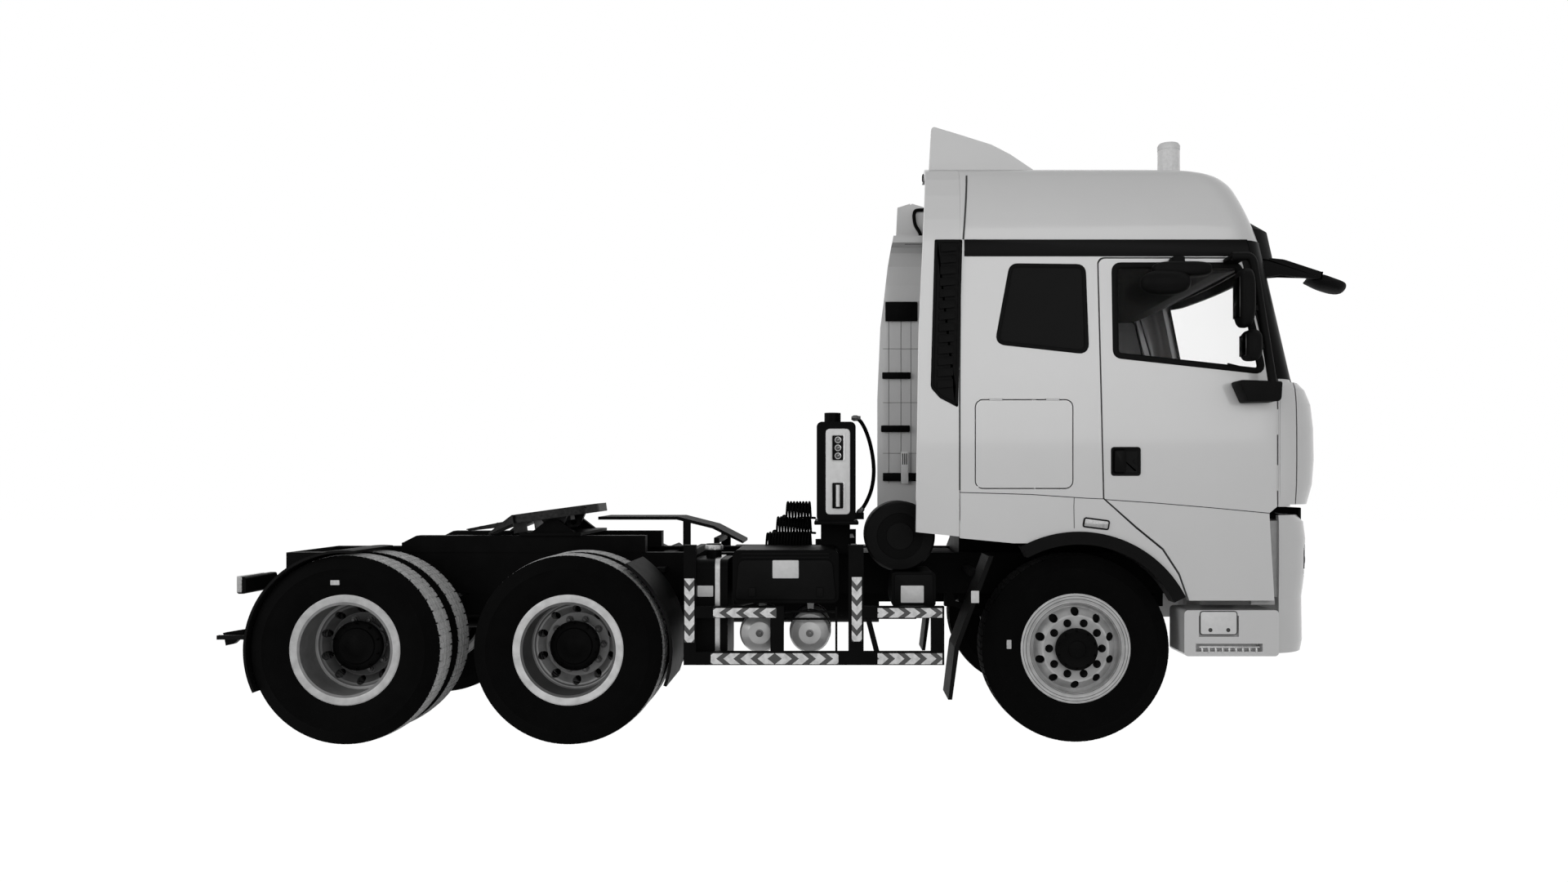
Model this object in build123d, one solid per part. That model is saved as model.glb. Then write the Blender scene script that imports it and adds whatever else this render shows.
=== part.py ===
from build123d import *
import math
import os

# Sizes in millimetres. Stations run along X from the front axle, forward is +X, right is -Y.
FRONT_REACH = 1784
REAR_REACH = 5400
FRONT_AXLE_X = (REAR_REACH - FRONT_REACH) / 2

# wheels and axles
TYRE_R = 600
TYRE_HALF = 156
TREAD_HALF = 118
BEAD_R = 306
BEAD_HALF = 90
RIM_FLANGE_R = 348
RIM_HALF = 127
RIM_SEAT_GAP = 0.3
WHEELBASE = 3200
BOGIE_SPREAD = 1400
FRONT_TYRE_Y = 1020
TWIN_INNER_Y = 740
TWIN_OUTER_Y = 1090
KINGPIN_Y = 862
SPINDLE_R = 45
SPINDLE_FIT = 0.3
DRIVE_SPINDLE_R = 70
KINGPIN_R = 24
KINGPIN_FIT = 0.3
ARM_BACK = 190
ARM_IN = 0
TIE_PIN_R = 15
TIE_PIN_FIT = 0.3

# frame
RAIL_TOP = 1165
RAIL_HIGH = 285
RAIL_OUT = 430
RAIL_FLANGE = 80
RAIL_WEB = 10
FRAME_FRONT = 1250
FRAME_REAR = -5330

# cab
CAB_HALF = 1245
CAB_WALL = 55
CAB_REAR = -740
CAB_FLOOR = 1500
FLOOR_THICK = 50
SILL_LINE = 1560
ROOF_SEAM = 3165
SEAM = 0.3
DOOR_GAP = 10
DOOR_THICK = 55
SKIRT_BOTTOM = 914
ARCH_IN = 665
ARCH_OUT = 745
CORNER_END = 8
PIVOT_ST = 1400
PIVOT_Z = 1080
PIVOT_R = 32
PIVOT_FIT = 0.3
HINGE_ST = 1243
HINGE_Y = 1236
HINGE_R = 6
HINGE_FIT = 0.5
PANEL_HINGE_ST = 1463
PANEL_HINGE_Z = 2272
PANEL_PIN_R = 4
PANEL_THICK = 24
PANEL_EDGE = 1376
FAR = 2000
BUMPER_HALF = 1185
LID_HINGE_Y = 1246
LID_HINGE_Z = 2170
door_hinge_rows = ((1600, 1760), (1950, 2110))

# fifth wheel
FIFTH_ST = -3500
FIFTH_PIVOT_Z = 1352
FIFTH_RISE = 110
FIFTH_TILT = 8
FIFTH_THICK = 60
KINGPIN_BORE = 25.5
FIFTH_PIN_R = 22
FIFTH_PIN_FIT = 0.3
SUB_TOP = 1282
PLATE_TOP = 1302

os.makedirs("parts", exist_ok=True)


def outline(points, place):
    # closed face of lines with rounded corners; a point is (u, v) or (u, v, radius)
    ends = []
    count = len(points)
    for i, p in enumerate(points):
        here = Vector(p[0], p[1])
        if len(p) < 3:
            ends.append((here, None, here))
            continue
        back = (Vector(points[i - 1][0], points[i - 1][1]) - here).normalized()
        ahead = (Vector(points[(i + 1) % count][0], points[(i + 1) % count][1]) - here).normalized()
        half = math.radians(back.get_angle(ahead) / 2)
        middle = (back + ahead).normalized()
        reach = p[2] / math.tan(half)
        top = here + middle * (p[2] / math.sin(half) - p[2])
        ends.append((here + back * reach, top, here + ahead * reach))
    edges = []
    for i, (start, top, end) in enumerate(ends):
        if top is not None:
            edges.append(Edge.make_three_point_arc(place(start), place(top), place(end)))
        follow = ends[(i + 1) % count][0]
        if (follow - end).length > 1e-6:
            edges.append(Edge.make_line(place(end), place(follow)))
    return Face(Wire(edges))


def slab_y(points, y0, y1):
    return Solid.extrude(outline(points, lambda v: Vector(v.X, y0, v.Y)), Vector(0, y1 - y0, 0))


def slab_x(points, x0, x1):
    return Solid.extrude(outline(points, lambda v: Vector(x0, v.X, v.Y)), Vector(x1 - x0, 0, 0))


def slab_z(points, z0, z1):
    return Solid.extrude(outline(points, lambda v: Vector(v.X, v.Y, z0)), Vector(0, 0, z1 - z0))


def block(x0, x1, y0, y1, z0, z1):
    return slab_y([(x0, z0), (x1, z0), (x1, z1), (x0, z1)], y0, y1)


def soft_block(x0, x1, y0, y1, z0, z1, r):
    return slab_y([(x0, z0, r), (x1, z0, r), (x1, z1, r), (x0, z1, r)], y0, y1)


def rod(a, b, r):
    a = Vector(a)
    b = Vector(b)
    return Solid.make_cylinder(r, (b - a).length, Plane(a, z_dir=b - a))


def turned(profile, x, z):
    # revolves (radius, y) points about the Y axis through (x, z)
    face = outline(profile, lambda v: Vector(x + v.X, v.Y, z))
    return Solid.revolve(face, 360, Axis((x, 0, z), (0, 1, 0)))


def fuse(*shapes):
    whole = shapes[0]
    for shape in shapes[1:]:
        whole = whole + shape
    return whole


def left(shape):
    return mirror(shape, Plane.XZ)


def both(shape):
    return Compound(children=[s.solid() for s in (shape, left(shape))])


def bundle(*shapes):
    return Compound(children=[s for shape in shapes for s in shape.solids()])


def export(name, shape):
    export_step(Pos(FRONT_AXLE_X, 0, 0) * shape, f"parts/{name}.step")


# Wheels: tyres, rims with discs, hubs
def tyre(st, y):
    profile = [(BEAD_R, -BEAD_HALF), (470, -TYRE_HALF), (TYRE_R, -TREAD_HALF),
               (TYRE_R, TREAD_HALF), (470, TYRE_HALF), (BEAD_R, BEAD_HALF)]
    return turned([(r, y + dy) for r, dy in profile], st, TYRE_R)


def rim(st, y):
    outer = BEAD_R - RIM_SEAT_GAP
    profile = [(285, -RIM_HALF), (RIM_FLANGE_R, -RIM_HALF), (RIM_FLANGE_R, 14 - RIM_HALF),
               (outer, 18 - RIM_HALF), (outer, RIM_HALF - 18), (RIM_FLANGE_R, RIM_HALF - 14),
               (RIM_FLANGE_R, RIM_HALF), (285, RIM_HALF)]
    return turned([(r, y + dy) for r, dy in profile], st, TYRE_R)


def hand_holes(shape, st, y0, y1, ring, r):
    for i in range(10):
        a = math.radians(36 * i + 18)
        x = st + ring * math.cos(a)
        z = TYRE_R + ring * math.sin(a)
        shape = shape - rod((x, y0, z), (x, y1, z), r)
    return shape


def sided(profile, side):
    return [(r, side * y) for r, y in profile]


def front_wheel(side):
    y = FRONT_TYRE_Y
    bore = SPINDLE_R + SPINDLE_FIT
    disc = [(120, y + 106), (205, y + 106), (252, y + 60), (290, y + 50), (290, y + 64), (260, y + 74),
            (214, y + 122), (120, y + 122)]
    disc = hand_holes(turned(sided(disc, side), 0, TYRE_R), 0, side * y, side * (y + 200), 232, 27)
    hub = [(bore, y - 66), (150, y - 66), (150, y - 40), (125, y - 30), (125, y + 150), (105, y + 165), (0, y + 165),
           (0, y + 75), (bore, y + 75)]
    drum = [(205, y - 118), (222, y - 118), (222, y - 40), (140, y - 40), (140, y - 52), (205, y - 52)]
    return fuse(rim(0, side * y), disc, *[turned(sided(p, side), 0, TYRE_R) for p in (hub, drum)])


def twin_wheel(st, side):
    mate = (TWIN_INNER_Y + TWIN_OUTER_Y) / 2
    bore = DRIVE_SPINDLE_R + SPINDLE_FIT
    pieces = []
    for way, y in ((1, TWIN_OUTER_Y), (-1, TWIN_INNER_Y)):
        disc = [(150, mate), (215, mate), (255, mate + way * 50), (290, mate + way * 66), (290, mate + way * 82),
                (248, mate + way * 66), (206, mate + way * 16), (150, mate + way * 16)]
        disc = turned(sided(disc, side), st, TYRE_R)
        pieces.append(hand_holes(disc, st, side * (mate - 120), side * (mate + 120), 232, 27))
        pieces.append(rim(st, side * y))
    hub = [(bore, 640), (155, 640), (155, mate + 30), (130, mate + 40), (130, mate + 95), (110, mate + 110),
           (0, mate + 110), (0, mate + 50), (bore, mate + 50)]
    drum = [(205, 590), (222, 590), (222, 700), (150, 700), (150, 688), (205, 688)]
    return fuse(*pieces, *[turned(sided(p, side), st, TYRE_R) for p in (hub, drum)])


for hand, side in (("left", 1), ("right", -1)):
    export(f"wheel_front_{hand}", front_wheel(side))
    export(f"tyre_front_{hand}", tyre(0, side * FRONT_TYRE_Y))
    wheels = twin_wheel(-WHEELBASE, side)
    tyres = bundle(tyre(-WHEELBASE, side * TWIN_INNER_Y), tyre(-WHEELBASE, side * TWIN_OUTER_Y))
    for name, back in (("middle", 0), ("rear", BOGIE_SPREAD)):
        export(f"wheels_{name}_{hand}", Pos(-back, 0, 0) * wheels)
        export(f"tyres_{name}_{hand}", Pos(-back, 0, 0) * tyres)

# Front axle beam, knuckles and tie rod
EYE_HALF = 55
beam_half = [(KINGPIN_Y, TYRE_R - EYE_HALF), (KINGPIN_Y, TYRE_R + EYE_HALF), (770, TYRE_R + EYE_HALF), (600, 565)]
beam_low = [(600, 470), (770, TYRE_R - EYE_HALF)]
beam = slab_x(beam_half + [(-y, z) for y, z in reversed(beam_half)] + [(-y, z) for y, z in reversed(beam_low)] + beam_low,
              -45, 45)
for side in (-1, 1):
    y = side * KINGPIN_Y
    beam = beam + rod((0, y, TYRE_R - EYE_HALF), (0, y, TYRE_R + EYE_HALF), 50)
    beam = beam - rod((0, y, 400), (0, y, 800), KINGPIN_R + KINGPIN_FIT)
export("front_axle", beam)


def knuckle():
    y = KINGPIN_Y
    low = TYRE_R - EYE_HALF - 6
    high = TYRE_R + EYE_HALF + 6
    upright = slab_x([(y + 58, low - 45), (y + 80, low - 45), (y + 80, high + 45), (y + 58, high + 45)], -60, 60)
    arms = [slab_z([(-55, y - 45, 40), (55, y - 45, 40), (55, y + 70), (-55, y + 70)], z0, z0 + 45)
            for z0 in (low - 45, high)]
    pin = rod((0, y, low - 20), (0, y, high + 20), KINGPIN_R)
    spindle = rod((0, y + 70, TYRE_R), (0, FRONT_TYRE_Y + 70, TYRE_R), SPINDLE_R)
    arm = slab_z([(-20, y - 40), (-ARM_BACK - 25, y - ARM_IN - 25, 20), (-ARM_BACK - 25, y - ARM_IN + 25, 20),
                  (-40, y + 40)], low - 45, low - 15)
    tie = rod((-ARM_BACK, y - ARM_IN, low - 110), (-ARM_BACK, y - ARM_IN, low - 40), TIE_PIN_R)
    return fuse(upright, *arms, pin, spindle, arm, tie)


steer = knuckle()
export("knuckle_left", steer)
export("knuckle_right", left(steer))
tie_y = KINGPIN_Y - ARM_IN
tie_z = TYRE_R - EYE_HALF - 6 - 80
bar = rod((-ARM_BACK, -tie_y + 22, tie_z), (-ARM_BACK, tie_y - 22, tie_z), 19)
for side in (-1, 1):
    y = side * tie_y
    bar = bar + rod((-ARM_BACK, y, tie_z - 22), (-ARM_BACK, y, tie_z + 22), 28)
    bar = bar - rod((-ARM_BACK, y, tie_z - 60), (-ARM_BACK, y, tie_z + 60), TIE_PIN_R + TIE_PIN_FIT)
export("tie_rod", bar)

# Drive axles with their shafts
SPRING_SEAT = 672
NOSE_REACH = 330
housings = []
for st in (-WHEELBASE, -WHEELBASE - BOGIE_SPREAD):
    tip = (TWIN_INNER_Y + TWIN_OUTER_Y) / 2 + 30
    body_line = [(0, -tip), (DRIVE_SPINDLE_R, -tip), (DRIVE_SPINDLE_R, -300), (110, -190), (215, -90), (215, 90),
                 (110, 190), (DRIVE_SPINDLE_R, 300), (DRIVE_SPINDLE_R, tip), (0, tip)]
    tube = turned(body_line, st, TYRE_R)
    nose = rod((st + 100, 0, TYRE_R + 40), (st + NOSE_REACH, 0, TYRE_R + 40), 90)
    pads = [block(st - 75, st + 75, side * 345, side * 435, TYRE_R, SPRING_SEAT) for side in (-1, 1)]
    housings.append(fuse(tube, nose, *pads))
shaft_start = -WHEELBASE + NOSE_REACH
main_shaft = rod((shaft_start - 60, 0, 632), (-1620, 0, 930), 50)
main_shaft = main_shaft - block(shaft_start - 200, shaft_start, -200, 200, 400, 900)
main_shaft = main_shaft + rod((-1640, 0, 930), (-1600.3, 0, 930), 75)
link_shaft = rod((shaft_start - BOGIE_SPREAD, 0, TYRE_R + 40), (-WHEELBASE - 120, 0, TYRE_R + 40), 50)
link_shaft = link_shaft - housings[0]
export("drive_axles", bundle(*housings, main_shaft, link_shaft))

# Frame rails and crossmembers
def rail():
    bottom = RAIL_TOP - RAIL_HIGH
    inner = RAIL_OUT - RAIL_FLANGE
    web = RAIL_OUT - RAIL_WEB
    return slab_x([(inner, bottom), (RAIL_OUT, bottom), (RAIL_OUT, RAIL_TOP), (inner, RAIL_TOP),
                   (inner, RAIL_TOP - RAIL_WEB), (web, RAIL_TOP - RAIL_WEB), (web, bottom + RAIL_WEB),
                   (inner, bottom + RAIL_WEB)], FRAME_REAR, FRAME_FRONT)


cross_stations = (-5270, -4200, -3560, -2750, -1900, 1130)
crossmembers = [block(st - 45, st + 45, RAIL_WEB - RAIL_OUT, RAIL_OUT - RAIL_WEB, 1000, 1140) for st in cross_stations]
tow = block(FRAME_REAR - 12, FRAME_REAR, -RAIL_OUT, RAIL_OUT, 900, RAIL_TOP)
horn = slab_y([(FRAME_FRONT - 180, 960), (FRAME_FRONT, 960), (PIVOT_ST + 45, PIVOT_Z - 40, 30),
               (PIVOT_ST + 45, PIVOT_Z + 45, 40), (FRAME_FRONT, RAIL_TOP - 20), (FRAME_FRONT - 180, RAIL_TOP - 20)],
              RAIL_OUT - 30, RAIL_OUT)
cab_pin = rod((PIVOT_ST, RAIL_OUT - 30, PIVOT_Z), (PIVOT_ST, 560, PIVOT_Z), PIVOT_R)
side_frame = fuse(rail(), horn, cab_pin)
export("chassis_frame", bundle(both(side_frame), tow, *crossmembers))

# Engine and gearbox as one plain block
engine = soft_block(-650, 780, -325, 325, 760, 1430, 60)
gearbox = soft_block(-1600, -640, -215, 215, 800, 1160, 50)
feet = [block(st - 60, st + 60, side * inner, side * (RAIL_OUT - RAIL_WEB), 1000, 1060)
        for st, inner in ((480, 320), (-1350, 210)) for side in (-1, 1)]
export("engine", fuse(engine, gearbox, *feet))

# Leaf springs, front pair and bogie pair
front_pack = slab_y([(-760, 790), (-700, 790), (-110, 565), (110, 565), (700, 790), (760, 790), (760, 880),
                     (700, 880), (680, 820), (110, 660), (-110, 660), (-680, 820), (-700, 880), (-760, 880)], 355, 425)
bogie = -WHEELBASE - BOGIE_SPREAD / 2
bogie_pack = slab_y([(bogie - 720, 672), (bogie - 640, 672), (bogie - 140, 730), (bogie + 140, 730),
                     (bogie + 640, 672), (bogie + 720, 672), (bogie + 720, 705), (bogie + 160, 880),
                     (bogie - 160, 880), (bogie - 720, 705)], 355, 425)
export("leaf_springs", bundle(both(front_pack), both(bogie_pack)))

# Fifth wheel: mounting bars, plate and pedestals, then the rocking top plate
sub = both(slab_y([(-4536, RAIL_TOP), (-2843, RAIL_TOP), (-2843, SUB_TOP), (-4434, SUB_TOP), (-4536, 1230)],
                  RAIL_OUT - 90, RAIL_OUT + 6))
base = block(FIFTH_ST - 215, FIFTH_ST + 215, -460, 460, SUB_TOP, PLATE_TOP)
stand = slab_y([(FIFTH_ST - 150, PLATE_TOP), (FIFTH_ST + 150, PLATE_TOP), (FIFTH_ST + 40, FIFTH_PIVOT_Z + 36, 30),
                (FIFTH_ST - 40, FIFTH_PIVOT_Z + 36, 30)], 330, 380)
stand = stand + rod((FIFTH_ST, 265, FIFTH_PIVOT_Z), (FIFTH_ST, 331, FIFTH_PIVOT_Z), FIFTH_PIN_R)
export("fifth_wheel_base", bundle(sub, base, both(stand)))

top = FIFTH_RISE
low = top - FIFTH_THICK
disc = slab_z([(-257, -450, 60), (40, -450, 120), (215, -345, 90), (290, -150, 120), (290, 150, 120), (215, 345, 90),
               (40, 450, 120), (-257, 450, 60)], low, top)
horn = slab_z([(-455, -390, 40), (-250, -450), (-250, 450), (-455, 390, 40)], -20, low + 1) + \
    slab_z([(-455, -390, 40), (-250, -450), (-250, 450), (-455, 390, 40)], low, top)
ramp = slab_y([(-257, top), (-470, top - 110), (-470, top + 40), (-257, top + 40)], -500, 500)
under = slab_y([(-256, low), (-470, low - 57), (-470, -200), (-256, -200)], -500, 500)
plate = disc + (horn - ramp - under)
plate = plate - slab_z([(-40, -KINGPIN_BORE - 30), (-480, -170), (-480, 170), (-40, KINGPIN_BORE + 30)], -300, 300)
jaw = slab_z([(-90, -88, 30), (60, -88, 30), (60, 88, 30), (-90, 88, 30)], low - 30, top)
plate = plate + jaw
plate = plate - rod((0, 0, -200), (0, 0, 300), KINGPIN_BORE)
for side in (-1, 1):
    ear = slab_y([(-90, low + 1), (-38, -38, 30), (38, -38, 30), (90, low + 1)], side * 270, side * 320)
    plate = plate + ear
    plate = plate - rod((0, side * 200, 0), (0, side * 326, 0), FIFTH_PIN_R + FIFTH_PIN_FIT)
export("fifth_wheel", Pos(FIFTH_ST, 0, FIFTH_PIVOT_Z) * Rot(0, -FIFTH_TILT, 0) * plate)

# Side equipment: tanks, boxes, air reservoirs, guards
right_tank = slab_x([(-1110, 500, 60), (-640, 500, 60), (-640, 1160, 60), (-1110, 1160, 60)], -2424, -2208)
right_tank = right_tank + rod((-2316, -900, 1159), (-2316, -900, 1252), 50)
fuel_tank = slab_x([(470, 560, 90), (1150, 560, 90), (1150, 1140, 90), (470, 1140, 90)], -2330, -1180)
fuel_tank = fuel_tank + rod((-1620, 940, 1139), (-1620, 940, 1190), 60)
hangers = [slab_x([(y0, 940), (y1, 940), (y1, 990), (y0, 990)], x0, x0 + 60)
           for x0, y0, y1 in ((-2346, -645, -RAIL_OUT), (-2100, RAIL_OUT, 475), (-1500, RAIL_OUT, 475))]
export("side_tanks", bundle(fuse(right_tank, hangers[0]), fuse(fuel_tank, hangers[1], hangers[2])))

battery = soft_block(-2176, -1500, -1120, -560, 885, 1223, 40)
battery = battery + block(-1900, -1800, -562, -RAIL_OUT, 940, 1000)
valve_box = soft_block(-1162, -882, -1100, -560, 859, 1080, 25)
valve_box = valve_box + block(-1060, -980, -562, -RAIL_OUT, 940, 1000)
export("side_boxes", bundle(battery, valve_box))

air_tank_stations = (-2002, -1684)
tanks = []
for st in air_tank_stations:
    tank = turned([(0, -1150), (70, -1143), (118, -1118), (130, -1090), (130, -560), (118, -532), (70, -507), (0, -500)],
                  st, 697)
    tabs = [block(st - 20, st + 20, y, y + 40, 820, 884.9) for y in (-900, -700)]
    tanks.append(fuse(tank, *tabs))
export("air_tanks", bundle(*tanks))


def side_guard():
    # columns: x0, x1, z0, z1
    bars = ((-2472, -2395, 509, 1260), (-1440, -1345, 509, 1260), (-1929, -1846, 509, 875), (-922, -840, 509, 875),
            (-2396, -1845, 803, 875), (-2396, -1345, 509, 591), (-1346, -840, 803, 875), (-1346, -840, 509, 591))
    frame = fuse(*[block(x0, x1, 1180, 1235, z0, z1) for x0, x1, z0, z1 in bars])
    stays = [block(-2455, -2415, RAIL_OUT, 1181, 1185, 1225) - block(-2500, -2300, 0, RAIL_OUT + 40, 1000, 1185),
             block(-1412, -1372, RAIL_OUT, 1181, 1185, 1225)]
    feet = [block(st - 20, st + 20, RAIL_OUT, RAIL_OUT + 40, 1040, 1225) for st in (-2435, -1392)]
    brace = slab_y([(-1335, 804), (-1300, 804), (-1245, 590), (-1280, 590)], 1190, 1225)
    return fuse(frame, brace, *stays, *feet)


guard = side_guard()
export("side_guards", both(guard))

# Hydraulic tank on its stand, hose, air filter
oil = soft_block(-1644, -1388, -900, -450, 1395, 2050, 35)
oil = oil + rod((-1540, -720, 2049), (-1540, -720, 2117), 55)
oil = oil + block(-1389, -1330, -742, -698, 1405, 1449)
oil = oil + block(-1620, -1420, -560, -350, RAIL_TOP, 1396)
export("hydraulic_tank", oil)
HOSE_Y = -720
bend_a = Edge.make_tangent_arc((-1485, HOSE_Y, 2090), (1, 0, 0), (-1270, HOSE_Y, 1770))
bend_b = Edge.make_tangent_arc((-1270, HOSE_Y, 1770), bend_a % 1, (-1352, HOSE_Y, 1452))
hose = Solid.sweep(Face(Wire.make_circle(17, Plane((-1485, HOSE_Y, 2090), z_dir=(1, 0, 0)))), Wire([bend_a, bend_b]))
export("hydraulic_hose", hose)
drum = turned([(0, -1010), (200, -1010), (220, -990), (220, -500), (0, -500)], -1105, 1305)
drum = drum + block(-1160, -1050, -560, -360, RAIL_TOP, 1200)
export("air_filter", drum)
lump = slab_y([(-2010, RAIL_TOP), (-1670, RAIL_TOP), (-1670, 1480, 60), (-1760, 1505, 60), (-1960, 1390, 60)], -550, -300)
export("cable_bundle", lump)

# Mudguards
def guard_arc(st, r0, r1, a0, a1, y0, y1):
    a0 = math.radians(a0)
    a1 = math.radians(a1)
    mid = (a0 + a1) / 2

    def at(r, a):
        return Vector(st + r * math.cos(a), y0, TYRE_R + r * math.sin(a))

    wire = Wire([Edge.make_three_point_arc(at(r1, a0), at(r1, mid), at(r1, a1)), Edge.make_line(at(r1, a1), at(r0, a1)),
                 Edge.make_three_point_arc(at(r0, a1), at(r0, mid), at(r0, a0)), Edge.make_line(at(r0, a0), at(r1, a0))])
    return Solid.extrude(Face(wire), Vector(0, y1 - y0, 0))


rear_axle = -WHEELBASE - BOGIE_SPREAD
tail_guard = guard_arc(rear_axle, 612, 628, 84, 205, 600, 1240)
mid_guard = guard_arc(-WHEELBASE, 640, 660, -20, 56, 600, 1240)
tail_stay = fuse(block(rear_axle - 260, rear_axle - 200, RAIL_OUT, 601, 1160, 1188),
                 block(rear_axle - 260, rear_axle - 200, RAIL_OUT, RAIL_OUT + 40, 1050, 1188),
                 block(rear_axle - 795, rear_axle - 612, 1205, 1235, 668, 694))
mid_stay = block(-WHEELBASE + 455, -WHEELBASE + 515, RAIL_OUT, 601, 1040, 1070)
front_flap = slab_y([(-560, 1190), (-530, 1190), (-745, 620), (-790, 290), (-815, 290), (-775, 620)], 880, 1225)
front_stay = block(-640, -590, RAIL_OUT, 890, 1040, 1080)
cover = slab_y([(-3390, 1381), (-2760, 1381), (-2480, 1310), (-2250, 1190), (-2250, 1170), (-2490, 1288),
                (-2770, 1357), (-3390, 1357)], 640, 1170)
cover = fuse(cover, block(-2720, -2660, 640, 652, 1100, 1350), block(-2720, -2660, RAIL_OUT, 652, 1100, 1130))
export("mudguards", bundle(both(fuse(tail_guard, tail_stay)), both(fuse(mid_guard, mid_stay)),
                           both(fuse(front_flap, front_stay)), cover))


# Plan sections of the rounded front: level, front station, half width, corner radius
def section(z, nose, half, corner, rear, inset):
    end = math.radians(CORNER_END)
    reach = half - corner + corner * math.sin(end)
    start = nose - corner * math.cos(end) - math.tan(end / 2) * reach
    r = corner - inset
    w = half - inset
    back = rear + inset
    cy = half - corner
    edges = []
    points = {}
    for side in (-1, 1):
        points[side] = [(back, side * w), (start, side * w),
                        (start + r * math.cos(math.radians(49)), side * (cy + r * math.sin(math.radians(49)))),
                        (start + r * math.cos(end), side * (cy + r * math.sin(end)))]
    at = lambda p: Vector(p[0], p[1], z)
    a = points[-1]
    b = points[1]
    edges.append(Edge.make_line(at(a[0]), at(a[1])))
    edges.append(Edge.make_three_point_arc(at(a[1]), at(a[2]), at(a[3])))
    edges.append(Edge.make_three_point_arc(at(a[3]), at((nose - inset, 0)), at(b[3])))
    edges.append(Edge.make_three_point_arc(at(b[3]), at(b[2]), at(b[1])))
    edges.append(Edge.make_line(at(b[1]), at(b[0])))
    edges.append(Edge.make_line(at(b[0]), at(a[0])))
    return Wire(edges)


def body(rows, rear, inset, first=None, last=None):
    # columns of a row: level, front station, half width, corner radius
    wires = []
    for i, (z, nose, half, corner) in enumerate(rows):
        if i == 0 and first is not None:
            z = first
        if i == len(rows) - 1 and last is not None:
            z = last
        wires.append(section(z, nose, half, corner, rear, inset))
    return Solid.make_loft(wires, ruled=True)


cab_rows = ((CAB_FLOOR, 1445, CAB_HALF, 150), (2291, 1445, CAB_HALF, 150), (ROOF_SEAM, 1250, CAB_HALF - 8, 170))
roof_rows = ((ROOF_SEAM, 1250, CAB_HALF - 8, 170), (3300, 1205, CAB_HALF - 14, 190), (3452, 1142, CAB_HALF - 30, 220),
             (3560, 1082, CAB_HALF - 60, 240), (3625, 980, CAB_HALF - 105, 240), (3655, 760, CAB_HALF - 180, 240))
cab_out = body(cab_rows, CAB_REAR, 0)
cab_in = body(cab_rows, CAB_REAR, CAB_WALL, CAB_FLOOR + FLOOR_THICK, ROOF_SEAM + 1)
shell = cab_out - cab_in

door_line = [(124, 3052, 40), (1015, 3052, 40), (1238, 2290, 60), (1238, 1500), (1190, 1460), (1222, SKIRT_BOTTOM),
             (690, SKIRT_BOTTOM), (632, 1082), (530, 1239), (361, 1377), (160, 1554)]
gap_line = [(124 - DOOR_GAP, 3052 + DOOR_GAP, 45), (1015 + 8, 3052 + DOOR_GAP, 45), (1238 + DOOR_GAP, 2290, 60),
            (1238 + DOOR_GAP, 1400), (1238 + DOOR_GAP, 800), (685, 800), (678, SKIRT_BOTTOM), (632 - 11, 1082 - 7),
            (530 - 10, 1239 - 9), (361 - 8, 1377 - 10), (160 - DOOR_GAP, 1554 - 4)]
pane_line = [(224, 3009, 40), (1000, 3009, 40), (1150, 2347, 40), (232, 2448, 40)]
side_pane_line = [(-419, 3007, 45), (28, 3002, 45), (48, 2469, 45), (-508, 2530, 45)]
hatch_line = [(-644, 1618, 44), (-41, 1618, 44), (-41, 2166, 44), (-644, 2166, 44)]


def grown(points, d):
    # the same outline moved outwards from its middle box by d
    mx = (min(p[0] for p in points) + max(p[0] for p in points)) / 2
    mz = (min(p[1] for p in points) + max(p[1] for p in points)) / 2
    out = []
    for p in points:
        moved = (p[0] + d * math.copysign(1, p[0] - mx), p[1] + d * math.copysign(1, p[1] - mz))
        out.append(moved + tuple(max(r + d, 2) for r in p[2:]))
    return out


# Front panel skin, shared by the lifting panel and the fixed corners beside it
panel_rows = ((1514, 1595, CAB_HALF, 330), (1640, 1630, CAB_HALF, 330), (1800, 1642, CAB_HALF, 330),
              (2000, 1638, CAB_HALF, 330), (2150, 1620, CAB_HALF, 330), (2240, 1580, CAB_HALF, 320),
              (2285, 1528, CAB_HALF, 300))
panel_skin = body(panel_rows, 600, 0) - body(panel_rows, 600, PANEL_THICK, 1510, 2290)
corner_skin = panel_skin & block(1260, PANEL_EDGE - 9, -FAR, FAR, 1400, 2400)

# Cab panels
side_wall = shell & block(CAB_REAR - 10, 1247, -FAR, -CAB_HALF + CAB_WALL, 1000, ROOF_SEAM - SEAM)
skirt = slab_y([(CAB_REAR, 1304), (-410, 1272), (60, 1272), (700, 930), (700, 1000), (300, 1620), (CAB_REAR, 1620)],
               -CAB_HALF, -CAB_HALF + CAB_WALL)
skirt = skirt - rod((0, -FAR, TYRE_R), (0, FAR, TYRE_R), ARCH_OUT + SEAM)
side_wall = side_wall + skirt
side_wall = side_wall - slab_y(gap_line, -FAR, 0)
side_wall = side_wall - slab_y(side_pane_line, -FAR, 0)
side_wall = side_wall - slab_y(grown(hatch_line, 7), -FAR, 0)
for x0 in (-560, -205):
    pocket = rod((x0 - 5, -LID_HINGE_Y, LID_HINGE_Z), (x0 + 85, -LID_HINGE_Y, LID_HINGE_Z), HINGE_R + HINGE_FIT)
    side_wall = side_wall - pocket
side_reach = block(CAB_REAR - 10, 716, -FAR, 0, 900, 4000) + block(700, 900 - SEAM, -FAR, 0, 3000, 4000)
side_wall = side_wall & side_reach
side_wall = max(side_wall.solids(), key=lambda s: s.volume)
export("cab_sides", both(side_wall))
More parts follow.
